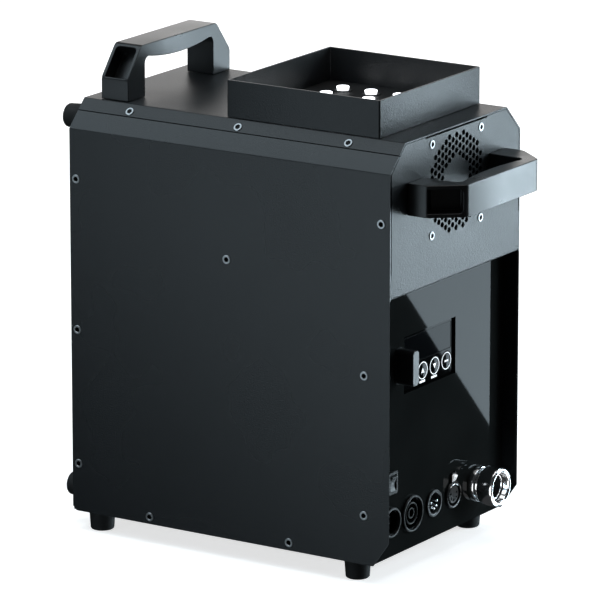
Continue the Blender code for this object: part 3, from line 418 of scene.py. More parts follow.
# ---------------------------------------------------------------- screws
def add_screw(bm, at, normal, radius=0.0041, rise=0.0008, spin=0.0):
    """Socket screw head: turned bright rim, sloping face and a hexagonal socket painted near-black as painted
    shade.
    """
    matrix = facing(normal, at, spin)
    key = radius * 0.60
    steps = 36
    rings = []
    rim = [(radius, -0.0001), (radius, rise * 0.55), (radius - 0.00035, rise), (radius * 0.80, rise)]
    for r, z in rim:
        rings.append([bm.verts.new(matrix @ Vector((a, b, z))) for a, b in circle(0.0, 0.0, r, steps)])

    def hex_ring(r, z):
        points = []
        for k in range(steps):
            side = k // 6
            a, b = pi / 3 * side, pi / 3 * (side + 1)
            t = (k % 6) / 6
            x = r * (cos(a) * (1 - t) + cos(b) * t)
            y = r * (sin(a) * (1 - t) + sin(b) * t)
            points.append(bm.verts.new(matrix @ Vector((x, y, z))))
        return points

    rings.append(hex_ring(key + 0.00025, rise))
    rings.append(hex_ring(key, rise - 0.00025))
    rings.append(hex_ring(key, 0.0))
    # The innermost band and the floor of the socket take the second material: painted shade in the recess.
    for one, two in zip(rings, rings[1:]):
        for k in range(steps):
            n = (k + 1) % steps
            face = bm.faces.new((one[k], one[n], two[n], two[k]))
            face.material_index = int(two is rings[-1])
    bm.faces.new(rings[-1]).material_index = 1
    bm.faces.new(reversed(rings[0])).material_index = 0


def screw_group(name, places, radius=0.0041):
    """One piece of several screw heads, each turned a little further than the last."""
    bm = bmesh.new()
    for number, (at, normal) in enumerate(places):
        add_screw(bm, at, normal, radius, spin=0.4 + 0.9 * number)
    thing = link(name, bm, SCREW, DARK_AND_PAINTED_SHADE)
    smooth(thing, 30)
    return thing


def screws():
    rear_y, front_y = REAR - 0.0070, FRONT + 0.0091
    side_rows = [(rear_y, 0.329), (rear_y, 0.189), (rear_y, 0.063), (front_y, 0.330), (FRONT + 0.0262, 0.191),
                 (FRONT + 0.0261, 0.0633), (FRONT + 0.1707, 0.2765), (FRONT + 0.2552, 0.0248),
                 (FRONT + 0.1050, 0.0253)]
    cover_x, cover_z, slope = 0.0918, TOP - 0.0058, sqrt(0.5)
    for side, word in ((-1, "left"), (1, "right")):
        places = [((side * HALF, y, z), (side, 0, 0)) for y, z in side_rows]
        place(screw_group(f"side_screws_{word}", places), "case", "steel")
        places = [((side * cover_x, y, cover_z), (side * slope, 0, slope)) for y in (0.1313, 0.0153, -0.1004)]
        place(screw_group(f"cover_screws_{word}", places), "case", "steel")
    places = [((x, REAR, z), (0, 1, 0)) for x in (-0.094, 0.094) for z in (0.085, 0.210, 0.330)]
    places += [((0.0, REAR, z), (0, 1, 0)) for z in (FLOOR + 0.012, TOP - 0.012)]
    place(screw_group("rear_screws", places), "case", "steel")
    under = FLOOR + GAP
    places = [((x, y, under), (0, 0, -1)) for x in (-0.070, 0.070) for y in (-0.100, 0.030, 0.160)]
    place(screw_group("base_screws", places), "case", "steel")
    spots = [((sx * FAN_SCREW, FRONT, FAN_Z + sz * FAN_SCREW), (0, -1, 0)) for sx in (-1, 1) for sz in (-1, 1)]
    fan = screw_group("fan_screws", spots, 0.0040)
    place(fan, "case", "steel", "fan_screw_1", "fan_screw_2", "fan_screw_3", "fan_screw_4")


# ---------------------------------------------------------------- sheet metal case
def bent_sheet(points, thickness):
    """Outline of a bent sheet from its outer corners, with rounded bends; the sheet lies to the left."""
    outer, inner = [], []
    path = [Vector((a, b)) for a, b in points]
    for k, here in enumerate(path):
        if k in (0, len(path) - 1):
            run = (path[1] - path[0]) if k == 0 else (path[-1] - path[-2])
            side = Vector((-run.y, run.x)).normalized() * thickness
            outer.append(here)
            inner.append(here + side)
            continue
        one, two = (here - path[k - 1]).normalized(), (path[k + 1] - here).normalized()
        turn = -one.angle_signed(two)
        left = turn > 0
        radius_out = BEND if left else BEND - thickness
        side = 1 if left else -1
        normal = Vector((-one.y, one.x)) * side
        length = radius_out * tan(abs(turn) / 2)
        centre = here - one * length + normal * radius_out
        for step in range(5):
            spin = turn * step / 4
            ray = Matrix.Rotation(spin, 2) @ (-normal)
            outer.append(centre + ray * radius_out)
            inner.append(centre + ray * (radius_out - side * thickness))
    return [tuple(p) for p in outer] + [tuple(p) for p in reversed(inner)]


def side_panels():
    seam_x, seam_z = HALF - SEAM_SHARE, FOLD + SEAM_SHARE
    for side, word in ((-1, "left"), (1, "right")):
        points = [(HALF, FLOOR), (HALF, FOLD), (seam_x, seam_z)]
        outline = [(side * a, b) for a, b in bent_sheet(points, SHEET)]
        panel = prism(f"side_skin_{word}", outline, "Y", FRONT, REAR, COAT_SIDE)
        reach, rise, small = 0.0166, 0.024, 0.004
        bm = bmesh.new()
        ends = sorted((side * (HALF + 0.01), side * (HALF - 0.01)))
        corner = [(FRONT - 0.01, FLOOR - 0.01), (FRONT + reach, FLOOR - 0.01), (FRONT + reach, FLOOR),
                  (FRONT, FLOOR + rise), (FRONT - 0.01, FLOOR + rise)]
        add_prism(bm, corner, "X", *ends)
        corner = [(REAR + 0.01, FLOOR - 0.01), (REAR + 0.01, FLOOR + small), (REAR, FLOOR + small),
                  (REAR - small, FLOOR), (REAR - small, FLOOR - 0.01)]
        add_prism(bm, corner, "X", *ends)
        cut(panel, bm)
        bm = bmesh.new()
        near, knee, far = side * (HALF - 0.0002), side * (HALF - 0.0017), side * (HALF - 0.0030)
        edge = [(near, FRONT - 0.002), (near, FRONT), (knee, FRONT + 0.0018), (far, FRONT + 0.0018),
                (far, FRONT - 0.002)]
        add_prism(bm, edge, "Z", FLOOR - 0.01, PANEL_TOP - 0.0005)
        cut(panel, bm)
        bevel(panel, 0.0002, 2, 40)
        place(panel, "case", "powder_coat", f"{word}_side_panel")


def top_skin():
    seam = CHAMFER - SEAM_SHARE
    flat = HALF - CHAMFER
    reach = seam - 0.0006
    points = [(flat + reach, TOP - reach), (flat, TOP), (-flat, TOP), (-flat - reach, TOP - reach)]
    cover = prism("top_skin", bent_sheet(points, SHEET), "Y", FRONT, REAR, COAT)
    low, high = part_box("outlet_collar")
    inset = 0.007
    bm = bmesh.new()
    add_box(bm, (low.x + inset, low.y + inset, TOP - 0.01), (high.x - inset, high.y - inset, TOP + 0.01))
    cut(cover, bm)
    bevel(cover, 0.00025, 2, 40)
    place(cover, "case", "powder_coat", "top_cover")


def front_skin():
    """Upper front sheet: rounded lower bend, hexagonal fan grille, relief slits at its edges."""
    top = TOP - SHEET - GAP
    half = INNER_HALF
    bend = FOLD - 0.0012
    shoulder = half - (top - bend)
    points = [(FRONT, top), (FRONT, PANEL_TOP), (PANEL - GAP, PANEL_TOP)]
    panel = prism("front_skin", bent_sheet(points, SHEET), "X", -half, half, COAT)
    bm = bmesh.new()
    for side in (-1, 1):
        corner = [(side * (half + 0.01), bend), (side * half, bend), (side * shoulder, top),
                  (side * shoulder, top + 0.01), (side * (half + 0.01), top + 0.01)]
        add_prism(bm, corner, "Y", FRONT - 0.01, FRONT + 0.01)
    cut(panel, bm)
    bm = bmesh.new()
    slit, notch = 0.052, half - 0.0009
    add_box(bm, (-slit, FRONT - 0.001, top - 0.0013), (slit, FRONT + 0.003, top + 0.001))
    add_box(bm, (-half - 0.001, FRONT - 0.001, FLOOR + 0.266), (-notch, FRONT + 0.003, bend + 0.0004))
    add_box(bm, (notch, FRONT - 0.001, FLOOR + 0.281), (half + 0.001, FRONT + 0.003, bend + 0.0004))
    cut(panel, bm)
    step_x, step_z, hole, reach = 0.00585, 0.0070, 0.0029, 8
    hub, edge = 0.0230, 0.0457
    bm = bmesh.new()
    for column in range(-reach, reach + 1):
        for row in range(-reach, reach + 1):
            x = column * step_x
            z = (row + (column % 2) / 2) * step_z
            if hub < sqrt(x * x + z * z) < edge:
                add_prism(bm, circle(x, FAN_Z + z, hole, 6), "Y", FRONT - 0.002, FRONT + SHEET + 0.002)
    cut(panel, bm)
    bevel(panel, 0.00022, 2, 45)
    place(panel, "case", "powder_coat", "front_panel")


def collar():
    """Welded square wall round the outlet with rounded corners and a rolled rim."""
    low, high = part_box("outlet_collar")
    x, y = (low.x + high.x) / 2, (low.y + high.y) / 2
    wide, deep = high.x - low.x, high.y - low.y
    wall = 0.002
    thing = prism("outlet_wall", rounded(x, y, wide, deep, 0.0016, 4), "Z", low.z, high.z, COAT)
    bm = bmesh.new()
    inside = rounded(x, y, wide - 2 * wall, deep - 2 * wall, 0.0006, 3)
    add_prism(bm, inside, "Z", low.z + SHEET, high.z + 0.01)
    cut(thing, bm)
    flange = 0.016
    bm = bmesh.new()
    add_box(bm, (low.x + flange / 2, low.y + flange / 2, low.z - 0.01),
            (high.x - flange / 2, high.y - flange / 2, low.z + 0.01))
    cut(thing, bm)
    bevel(thing, 0.00035, 2, 50)
    place(thing, "case", "powder_coat", "outlet_collar")


# ---------------------------------------------------------------- outlet tray
def outlet():
    low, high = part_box("outlet_collar")
    x, y = (low.x + high.x) / 2, (low.y + high.y) / 2
    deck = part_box("outlet_deck")[1].z
    spots = [(sx * 0.052, row) for sx in (-1, 1) for row in (-0.045, -0.015, 0.015, 0.045)]
    spots += [(sx * 0.024, row) for sx in (-1, 1) for row in (-0.045, 0.0, 0.045)]
    spots += [(0.0, -0.045), (0.0, 0.045)]
    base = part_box("lens_array")[0].z
    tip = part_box("lens_array")[1].z
    lenses, rims = bmesh.new(), bmesh.new()
    for sx, sy in spots:
        at = Matrix.Translation((x + sx, y + sy, 0.0))
        wide, narrow = 0.0058, 0.0042
        profile = [(0.0, base), (narrow, base), (wide, tip - 0.0004), (wide - 0.0003, tip),
                   (wide - 0.0012, tip - 0.0002), (0.0028, tip - 0.0008), (0.0012, tip - 0.0003),
                   (0.0, tip - 0.0002)]
        add_lathe(lenses, profile, 40, at)
        under, over = deck + 0.0001, deck + 0.0007
        ring = [(0.0065, under), (0.0092, under), (0.0090, over), (0.0067, over)]
        add_lathe(rims, ring, 40, at)
    optics = link("led_lenses", lenses, LENS)
    smooth(optics, 40)
    place(optics, "case", "lens", "lens_array")
    seats = link("lens_seats", rims, DARK_AND_PAINTED_SHADE)
    smooth(seats, 40)
    place(seats, "case", "powder_coat")
    nozzle_low, nozzle_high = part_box("fog_nozzle")
    shift = nozzle_low.z
    length = nozzle_high.z - shift
    profile = [(0.0045, 0.0), (0.0075, 0.0), (0.0075, length - 0.012), (0.0105, length - 0.010),
               (0.0105, length - 0.0008), (0.0098, length), (0.0080, length), (0.0072, length - 0.0008),
               (0.0048, length - 0.0050), (0.0045, length - 0.006)]
    turned("fog_outlet", "case", "steel", profile, (x, y, shift), [STEEL], axis=(0, 0, 1),
           nodes=("fog_nozzle",))


# ---------------------------------------------------------------- handles
def grip(name):
    """Bridge handle on its base plane: pocketed sloping ends, rounded grip with a bellied underside."""
    low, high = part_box("top_handle")
    half, depth, rise = (high.x - low.x) / 2, (high.y - low.y) / 2, high.z - low.z
    flat, leg_top, inner = 0.0605, 0.020, 0.0550
    slope = Vector((half - flat, leg_top - rise)).normalized()
    outline = [(inner, 0.0), (half, 0.0)]
    outline += [(half, leg_top - 0.0020), (half - 0.0003, leg_top - 0.0006), (half - 0.0010, leg_top + 0.0013)]
    top = Vector((flat, rise))
    outline += [tuple(top + slope * 0.0028), tuple(top + slope * 0.0011 + Vector((-0.0004, -0.0002))),
                (flat - 0.0012, rise - 0.0002), (flat - 0.0030, rise)]
    outline += [(-a, b) for a, b in reversed(outline[1:])] + [(-inner, 0.0)]
    fillet = 0.0062
    ceiling = 0.0362
    under = arc(-inner + fillet, ceiling - fillet, fillet, 180, 90, 6)
    steps = 18
    for k in range(1, steps):
        t = -1 + 2 * k / steps
        under.append((t * (inner - fillet), ceiling - 0.0047 * (1 - t * t)))
    under += arc(inner - fillet, ceiling - fillet, fillet, 90, 0, 6)
    thing = prism(name, outline + under, "Y", -depth, depth, GRIP)
    bm = bmesh.new()
    for side in (-1, 1):
        mouth = rounded(0.0, 0.0, 2 * depth - 0.0074, 0.060, 0.0036, 5)
        deep = 0.0140
        direction = Vector((side * slope.x, 0.0, slope.y))
        across = Vector((0.0, 1.0, 0.0))
        outward = Vector((side * -slope.y, 0.0, slope.x))
        start = Vector((side * flat, 0.0, rise)) + direction * 0.0334
        ends = []
        for level in (0.004, -deep):
            ends.append([bm.verts.new(start + across * a + direction * b + outward * level) for a, b in mouth])
        bm.faces.new(ends[0])
        bm.faces.new(reversed(ends[1]))
        for i in range(len(mouth)):
            j = (i + 1) % len(mouth)
            bm.faces.new((ends[0][j], ends[0][i], ends[1][i], ends[1][j]))
    keep = bmesh.new()
    add_box(keep, (-half - 0.02, -0.05, -0.02), (half + 0.02, 0.05, leg_top - 0.0045))
    tool = link("pocket_cutter", bm, GRIP)
    cut(tool, keep)
    inside = bmesh.new()
    add_box(inside, (-0.0480, -0.05, -0.02), (0.0480, 0.05, 0.06))
    cut(tool, inside)
    wall = bmesh.new()
    for side in (-1, 1):
        near, far = sorted((side * (half - 0.0032), side * (half + 0.02)))
        add_box(wall, (near, -0.05, -0.02), (far, 0.05, leg_top + 0.0002))
    cut(tool, wall)
    subtract(thing, tool)
    bevel(thing, 0.0011, 3, 38)
    return thing


def handles():
    upper = grip("top_grip")
    low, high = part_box("top_handle")
    upper.location = (0.0, (low.y + high.y) / 2, low.z)
    place(upper, "case", "handle_plastic", "top_handle")
    lower = grip("front_grip")
    low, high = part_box("front_handle")
    lower.rotation_euler = (pi / 2, 0.0, 0.0)
    lower.location = (0.0, high.y, (low.z + high.z) / 2)
    place(lower, "case", "handle_plastic", "front_handle")


# ---------------------------------------------------------------- feet
def feet():
    names = [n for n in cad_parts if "foot" in n]
    for name in sorted(names):
        low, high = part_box(name)
        at = (low + high) / 2
        if name.startswith("base"):
            axis, tall = (0, 0, -1), high.z - low.z
            at.z = high.z
        else:
            axis, tall = (0, 1, 0), high.y - low.y
            at.y = low.y
        wide, narrow, soft, bottom = 0.0120, 0.0105, 0.0020, tall - 0.0050
        profile = [(0.0, 0.0), (wide - 0.0004, 0.0), (wide, 0.0005), (narrow + 0.0004, tall - 0.0022)]
        profile += arc(narrow - 0.0016, tall - soft, soft, 0, 90, 4)
        profile += [(0.0052, tall), (0.0046, tall - 0.0006), (0.0046, bottom), (0.0, bottom)]
        thing = turned(name + "_rubber", "case", "rubber", profile, at, [RUBBER], axis=axis, segments=48,
                       nodes=(name,))
        bm = bmesh.new()
        head = Vector(at) + Vector(axis) * bottom
        add_screw(bm, head, axis, 0.0038, 0.0012)
        screw = link(name + "_screw", bm, SCREW, DARK_AND_PAINTED_SHADE)
        smooth(screw, 30)
        screw.parent = thing
        screw.matrix_parent_inverse = thing.matrix_world.inverted()


# ---------------------------------------------------------------- display and keys
def display():
    low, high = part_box("display_unit")
    x, z = (low.x + high.x) / 2, (low.z + high.z) / 2
    wide, tall = high.x - low.x, high.z - low.z
    face = low.y
    key_z = middle("button_up").z
    key_x = [middle(n).x for n in ("button_up", "button_down", "button_enter")]
    radius = (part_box("button_up")[1].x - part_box("button_up")[0].x) / 2
    unit = prism("display_face", rounded(x, z, wide, tall, 0.0010, 3), "Y", face, face + 0.014, FACE)
    bm = bmesh.new()
    for kx in key_x:
        add_prism(bm, circle(kx, key_z, radius + 0.00025, 48), "Y", face - 0.01, face + 0.004)
    window = (x, key_z + 0.0230, wide - 0.0080, 0.0245)
    add_prism(bm, rounded(*window, 0.0012, 4), "Y", face - 0.01, face + 0.0006)
    cut(unit, bm)
    bevel(unit, 0.0002, 2, 45)
    place(unit, "case", "key", "display_unit")
    x, z, wide, tall = window
    pane = rounded(x, z, wide - 0.0002, tall - 0.0002, 0.0011, 4)
    glass = prism("display_window", pane, "Y", face + 0.0003, face + 0.0012, SCREEN)
    bevel(glass, 0.0001, 1, 45)
    place(glass, "case", "gloss_panel")
    keys = (("key_up", "button_up"), ("key_down", "button_down"), ("key_enter", "button_enter"))
    soft = 0.0005
    for (body, name), kx in zip(keys, key_x):
        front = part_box(name)[0].y
        profile = [(0.0, -0.0026), (radius, -0.0026), (radius, -soft)]
        profile += arc(radius - soft, -soft, soft, 30, 90, 2)
        profile += [(0.0, 0.0)]
        at = (kx, front, key_z)
        key = turned(f"{body}_cap", body, "key", profile, at, [FACE], segments=56, nodes=(name,))
        bm = bmesh.new()
        thick = 0.00010
        inner, outer = radius - 0.0015, radius - 0.0007
        ring = [(inner, -0.0001), (outer, -0.0001), (outer, thick), (inner, thick)]
        add_lathe(bm, ring, 56, facing((0, -1, 0), at))
        if body == "key_enter":
            shape = [(-0.0030, -0.0008), (0.0030, -0.0008), (0.0030, 0.0008), (-0.0030, 0.0008)]
        else:
            way = 1 if body == "key_up" else -1
            shape = [(-0.0026, -0.0021 * way), (0.0026, -0.0021 * way), (0.0, 0.0025 * way)]
        add_prism(bm, [(kx + a, key_z + b) for a, b in shape], "Y", front - thick, front + 0.0001)
        # The key marks are white print that also glows as painted light.
        printed = link(f"{body}_print", bm, PRINT_WITH_PAINTED_GLOW)
        smooth(printed, 30)
        printed.parent = key
        printed.matrix_parent_inverse = key.matrix_world.inverted()
    bm = bmesh.new()
    for kx in key_x[:2]:
        bar = rounded(kx - 0.0004, key_z - 0.0100, 0.0095, 0.0020, 0.0004, 3)
        add_prism(bm, bar, "Y", face - 0.0001, face + 0.0001)
    # White print bars that also glow as painted light.
    bars = link("key_label_bars", bm, PRINT_WITH_PAINTED_GLOW)
    place(bars, "case", "lens")


def frame_ring(bm, outer, inner, start, end):
    """Closed tube between two outlines with the same number of points."""
    loops = []
    for outline in (outer, inner):
        loops.append([[bm.verts.new((a, y, b)) for a, b in outline] for y in (start, end)])
    count = len(outer)
    for i in range(count):
        j = (i + 1) % count
        (o0, o1), (i0, i1) = loops
        bm.faces.new((o0[i], o0[j], o1[j], o1[i]))
        bm.faces.new((i0[j], i0[i], i1[i], i1[j]))
        bm.faces.new((o0[j], o0[i], i0[i], i0[j]))
        bm.faces.new((o1[i], o1[j], i1[j], i1[i]))


def module():
    """Upright plug-in block with soft edges."""
    low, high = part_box("plug_in_module")
    x, z = (low.x + high.x) / 2, (low.z + high.z) / 2
    wide, tall = high.x - low.x, high.z - low.z
    block = prism("plug_in_block", rounded(x, z, wide, tall, 0.0040, 8), "Y", low.y, PANEL - GAP, GRIP)
    bevel(block, 0.0010, 4, 50)
    place(block, "case", "handle_plastic", "plug_in_module")
    bm = bmesh.new()
    outer = rounded(x, z, wide + 0.0014, tall + 0.0014, 0.0046, 8)
    inner = rounded(x, z, wide + 0.0002, tall + 0.0002, 0.0040, 8)
    frame_ring(bm, outer, inner, PANEL - 0.0012, PANEL - 0.0001)
    collar_ring = link("plug_in_gasket", bm, RUBBER)
    smooth(collar_ring, 30)
    place(collar_ring, "case", "rubber")


def rocker():
    """The lever is hollowed between its ends, and rests with its lower end pressed in."""
    low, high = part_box("rocker_switch_body")
    x, z = (low.x + high.x) / 2, (low.z + high.z) / 2
    wide, tall = high.x - low.x, high.z - low.z
    bm = bmesh.new()
    outer = rounded(x, z, wide, tall, 0.0014, 5)
    inner = rounded(x, z, wide - 0.0058, tall - 0.0058, 0.0006, 5)
    frame_ring(bm, outer, inner, low.y, PANEL + 0.008)
    body = link("switch_surround", bm, DARK_AND_PAINTED_SHADE)
    bevel(body, 0.0006, 2, 50)
    place(body, "case", "connector_black", "rocker_switch_body")
    lever_low, lever_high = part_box("rocker_lever")
    half_x = (lever_high.x - lever_low.x) / 2
    half_z, pivot_y = 0.0074, PANEL + 0.003
    outline = []
    steps = 14
    for k in range(steps + 1):
        t = 1 - 2 * k / steps
        outline.append((-0.0042 - 0.0020 * t * t, t * (half_z - 0.0004)))
    outline += [(-0.0025, -half_z), (0.0030, -0.0030), (0.0030, 0.0030), (-0.0025, half_z)]
    lever = prism("switch_lever", outline, "X", -half_x, half_x, GREY)
    bevel(lever, 0.0004, 2, 45)
    tilt = Matrix.Translation((x, pivot_y, z)) @ Matrix.Rotation(radians(9), 4, "X")
    lever.matrix_world = tilt
    place(lever, "rocker", "connector_black", "rocker_lever")
    bm = bmesh.new()
    add_box(bm, (-0.0003, -0.0055, 0.0040), (0.0003, -0.0048, 0.0056))
    marks = link("switch_mark", bm, GREY_MARK_AND_SHEEN)
    marks.matrix_world = tilt
    place(marks, "rocker", "connector_black")


# ---------------------------------------------------------------- sockets
def power_sockets():
    """The inlet's core sits back in its well; the outlet's stands proud and has a ring inside."""
    for node, core, face in (("power_inlet", 0.0062, -0.0035), ("power_outlet", 0.0102, 0.0010)):
        low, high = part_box(node)
        at = ((low.x + high.x) / 2, PANEL, (low.z + high.z) / 2)
        r = (high.x - low.x) / 2
        well = r - 0.0022
        back, bottom, deep = -0.0230, -0.0130, face - 0.0060
        profile = [
            (0.0, back), (r - 0.0025, back), (r - 0.0025, 0.0003), (r - 0.0001, 0.0003), (r, 0.0008),
            (r, 0.0020), (r - 0.0004, 0.0027), (r - 0.0009, 0.0030), (r - 0.0015, 0.0030),
            (well + 0.0003, 0.0028), (well, 0.0022), (well, bottom), (core, bottom), (core, face - 0.0008),
            (core - 0.0003, face - 0.0002), (core - 0.0008, face), (core - 0.0012, face - 0.0002),
            (core - 0.0015, face - 0.0008), (core - 0.0015, deep),
        ]
        # The rounded crests of the flange, the core and the inner ring are painted lighter grey: a painted
        # highlight on black plastic.
        slots = [0] * 5 + [1] * 4 + [0] * 9
        if face > 0:
            profile += [(0.0050, deep), (0.0050, face - 0.0012), (0.0047, face - 0.0007),
                        (0.0042, face - 0.0007), (0.0038, face - 0.0012), (0.0036, deep)]
            slots[13:17] = [1] * 4
            slots += [0, 0, 1, 1, 1, 0]
        profile.append((0.0, deep))
        slots.append(0)
        turned(node + "_shell", "case", "connector_black", profile, at, [BLACK, GREY_MARK_AND_SHEEN], slots, nodes=(node,))
        bm = bmesh.new()
        for turn in (90, 210, 330):
            spin = radians(turn)
            along = Vector((cos(spin), 0.0, sin(spin)))
            side = Vector((-sin(spin), 0.0, cos(spin)))
            reach = (core + 0.0002, well - 0.0010)
            corners = []
            for level in (-0.0128, face - 0.0020):
                for a, b in ((reach[0], -0.0011), (reach[1], -0.0011), (reach[1], 0.0011), (reach[0], 0.0011)):
                    point = Vector(at) + along * a + side * b + Vector((0.0, -level, 0.0))
                    corners.append(bm.verts.new(point))
            for quad in ((0, 1, 2, 3), (7, 6, 5, 4), (0, 4, 5, 1), (1, 5, 6, 2), (2, 6, 7, 3), (3, 7, 4, 0)):
                bm.faces.new([corners[q] for q in quad])
        ribs = link(node + "_keys", bm, BLACK)
        bevel(ribs, 0.0003, 2, 40)
        place(ribs, "case", "connector_black")


def pin_places(at, radius=0.0052):
    """Five contacts on an arc that is open at the top."""
    turns = [radians(-90 + (k - 2) * 52) for k in range(5)]
    return [(at[0] + radius * cos(t), at[1], at[2] + radius * sin(t)) for t in turns]


def data_flange(r):
    return [(0.0, -0.0200), (r - 0.0015, -0.0200), (r - 0.0015, 0.0003), (r, 0.0003), (r, 0.0012),
            (r - 0.0004, 0.0018), (r - 0.0010, 0.0020)]


def data_inlet():
    low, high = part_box("xlr_male")
    r = (high.x - low.x) / 2
    at = ((low.x + high.x) / 2, PANEL, low.z + r)
    profile = data_flange(r) + [(0.0102, 0.0020), (0.0096, 0.0016), (0.0095, 0.0010), (0.0095, -0.0120),
                                (0.0, -0.0120)]
    # The flange ring and its rounded crest are lighter grey: the ring's own grey, with painted sheen on the
    # crest. The inside is painted near-black: black plastic darkened as painted shade.
    slots = [0, 0, 0, 0, 1, 1, 1, 0, 0, 2, 2]
    turned("data_in_shell", "case", "connector_black", profile, at, [BLACK, GREY_MARK_AND_SHEEN, DARK_AND_PAINTED_SHADE], slots,
           nodes=("xlr_male",))
    bm = bmesh.new()
    for px, py, pz in pin_places(at):
        pin = [(0.0, -0.0121), (0.0012, -0.0121), (0.0012, 0.0006), (0.0010, 0.0011), (0.0006, 0.0014),
               (0.0, 0.0015)]
        add_lathe(bm, pin, 20, facing((0, -1, 0), (px, py, pz)))
    pins = link("data_in_pins", bm, PIN)
    smooth(pins, 30)
    place(pins, "case", "steel")


def data_outlet():
    low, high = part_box("xlr_female")
    r = (high.x - low.x) / 2
    at = ((low.x + high.x) / 2, PANEL, low.z + r)
    profile = data_flange(r) + [(0.0108, 0.0020), (0.0104, 0.0016), (0.0104, -0.0120), (0.0084, -0.0120),
                                (0.0083, 0.0008), (0.0080, 0.0014), (0.0, 0.0015)]
    # The gap round the insert is painted near-black as painted shade; the insert keeps its own lighter grey.
    slots = [0] * 8 + [1] * 3 + [2] * 2
    body = turned("data_out_shell", "case", "connector_black", profile, at, [BLACK, DARK_AND_PAINTED_SHADE, INSERT], slots)
    bm = bmesh.new()
    # The contact holes are painted near-black: painted shade.
    for px, py, pz in pin_places(at):
        add_prism(bm, circle(px, pz, 0.0012, 20), "Y", PANEL - 0.01, PANEL + 0.010, 1)
    cut(body, bm)
    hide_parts("xlr_female")
    data_latch(at, high)


def data_latch(at, high):
    """Above the data outlet: an arched pocket with the release tab in it, and a bright wire below."""
    lug_low, lug_high = at[2] + 0.0108, high.z
    crown = lug_high - 0.0015
    outer = [(-0.0042, lug_low), (0.0042, lug_low), (0.0042, crown)]
    outer += arc(0.0027, crown, 0.0015, 0, 90, 5)[1:] + arc(-0.0027, crown, 0.0015, 90, 180, 5)
    inner = [(-0.0034, lug_low + 0.0004), (0.0034, lug_low + 0.0004), (0.0034, crown)]
    inner += arc(0.0027, crown, 0.0007, 0, 90, 5)[1:] + arc(-0.0027, crown, 0.0007, 90, 180, 5)
    bm = bmesh.new()
    outer, inner = [(at[0] + a, b) for a, b in outer], [(at[0] + a, b) for a, b in inner]
    frame_ring(bm, outer, inner, PANEL - 0.0020, PANEL + 0.0060)
    lug = link("data_out_latch_pocket", bm, BLACK)
    bevel(lug, 0.0002, 2, 45)
    place(lug, "case", "connector_black")
    tab_low, tab_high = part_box("xlr_latch")
    pivot = Vector((at[0], PANEL + 0.0010, tab_low.z + 0.0013))
    tall = tab_high.z - pivot.z
    wide = (tab_high.x - tab_low.x) / 2
    outline = [(-0.0010, -0.0013), (-0.0022, -0.0006), (-0.0032, 0.0010), (-0.0041, 0.0026), (-0.0046, 0.0042),
               (-0.0047, tall - 0.0024), (-0.0045, tall - 0.0012), (-0.0038, tall - 0.0003),
               (-0.0028, tall), (-0.0008, tall), (0.0012, 0.0010), (0.0010, -0.0012)]
    outline = [(pivot.y + a, pivot.z + b) for a, b in outline]
    # The tab is near-white and glows: a painted highlight in place of the reflection on the real latch.
    tab = prism("data_out_latch", outline, "X", at[0] - wide, at[0] + wide, LATCH_PAINTED_HIGHLIGHT)
    bevel(tab, 0.0010, 3, 30)
    place(tab, "xlr_latch", "chrome", "xlr_latch")
    bm = bmesh.new()
    steps, sides, reach, thick = 14, 8, 0.0096, 0.0004
    centre = Vector(at)
    loops = []
    for k in range(steps + 1):
        turn = radians(52 + 76 * k / steps)
        spoke = Vector((cos(turn), 0.0, sin(turn)))
        loops.append([bm.verts.new(centre + spoke * (reach + a) + Vector((0, -0.0019 - b, 0)))
                      for a, b in circle(0.0, 0.0, thick, sides)])
    for one, two in zip(loops, loops[1:]):
        for s in range(sides):
            t = (s + 1) % sides
            bm.faces.new((one[s], one[t], two[t], two[s]))
    bm.faces.new(loops[0])
    bm.faces.new(reversed(loops[-1]))
    wire = link("data_out_latch_wire", bm, PIN)
    smooth(wire, 40)
    place(wire, "case", "steel")


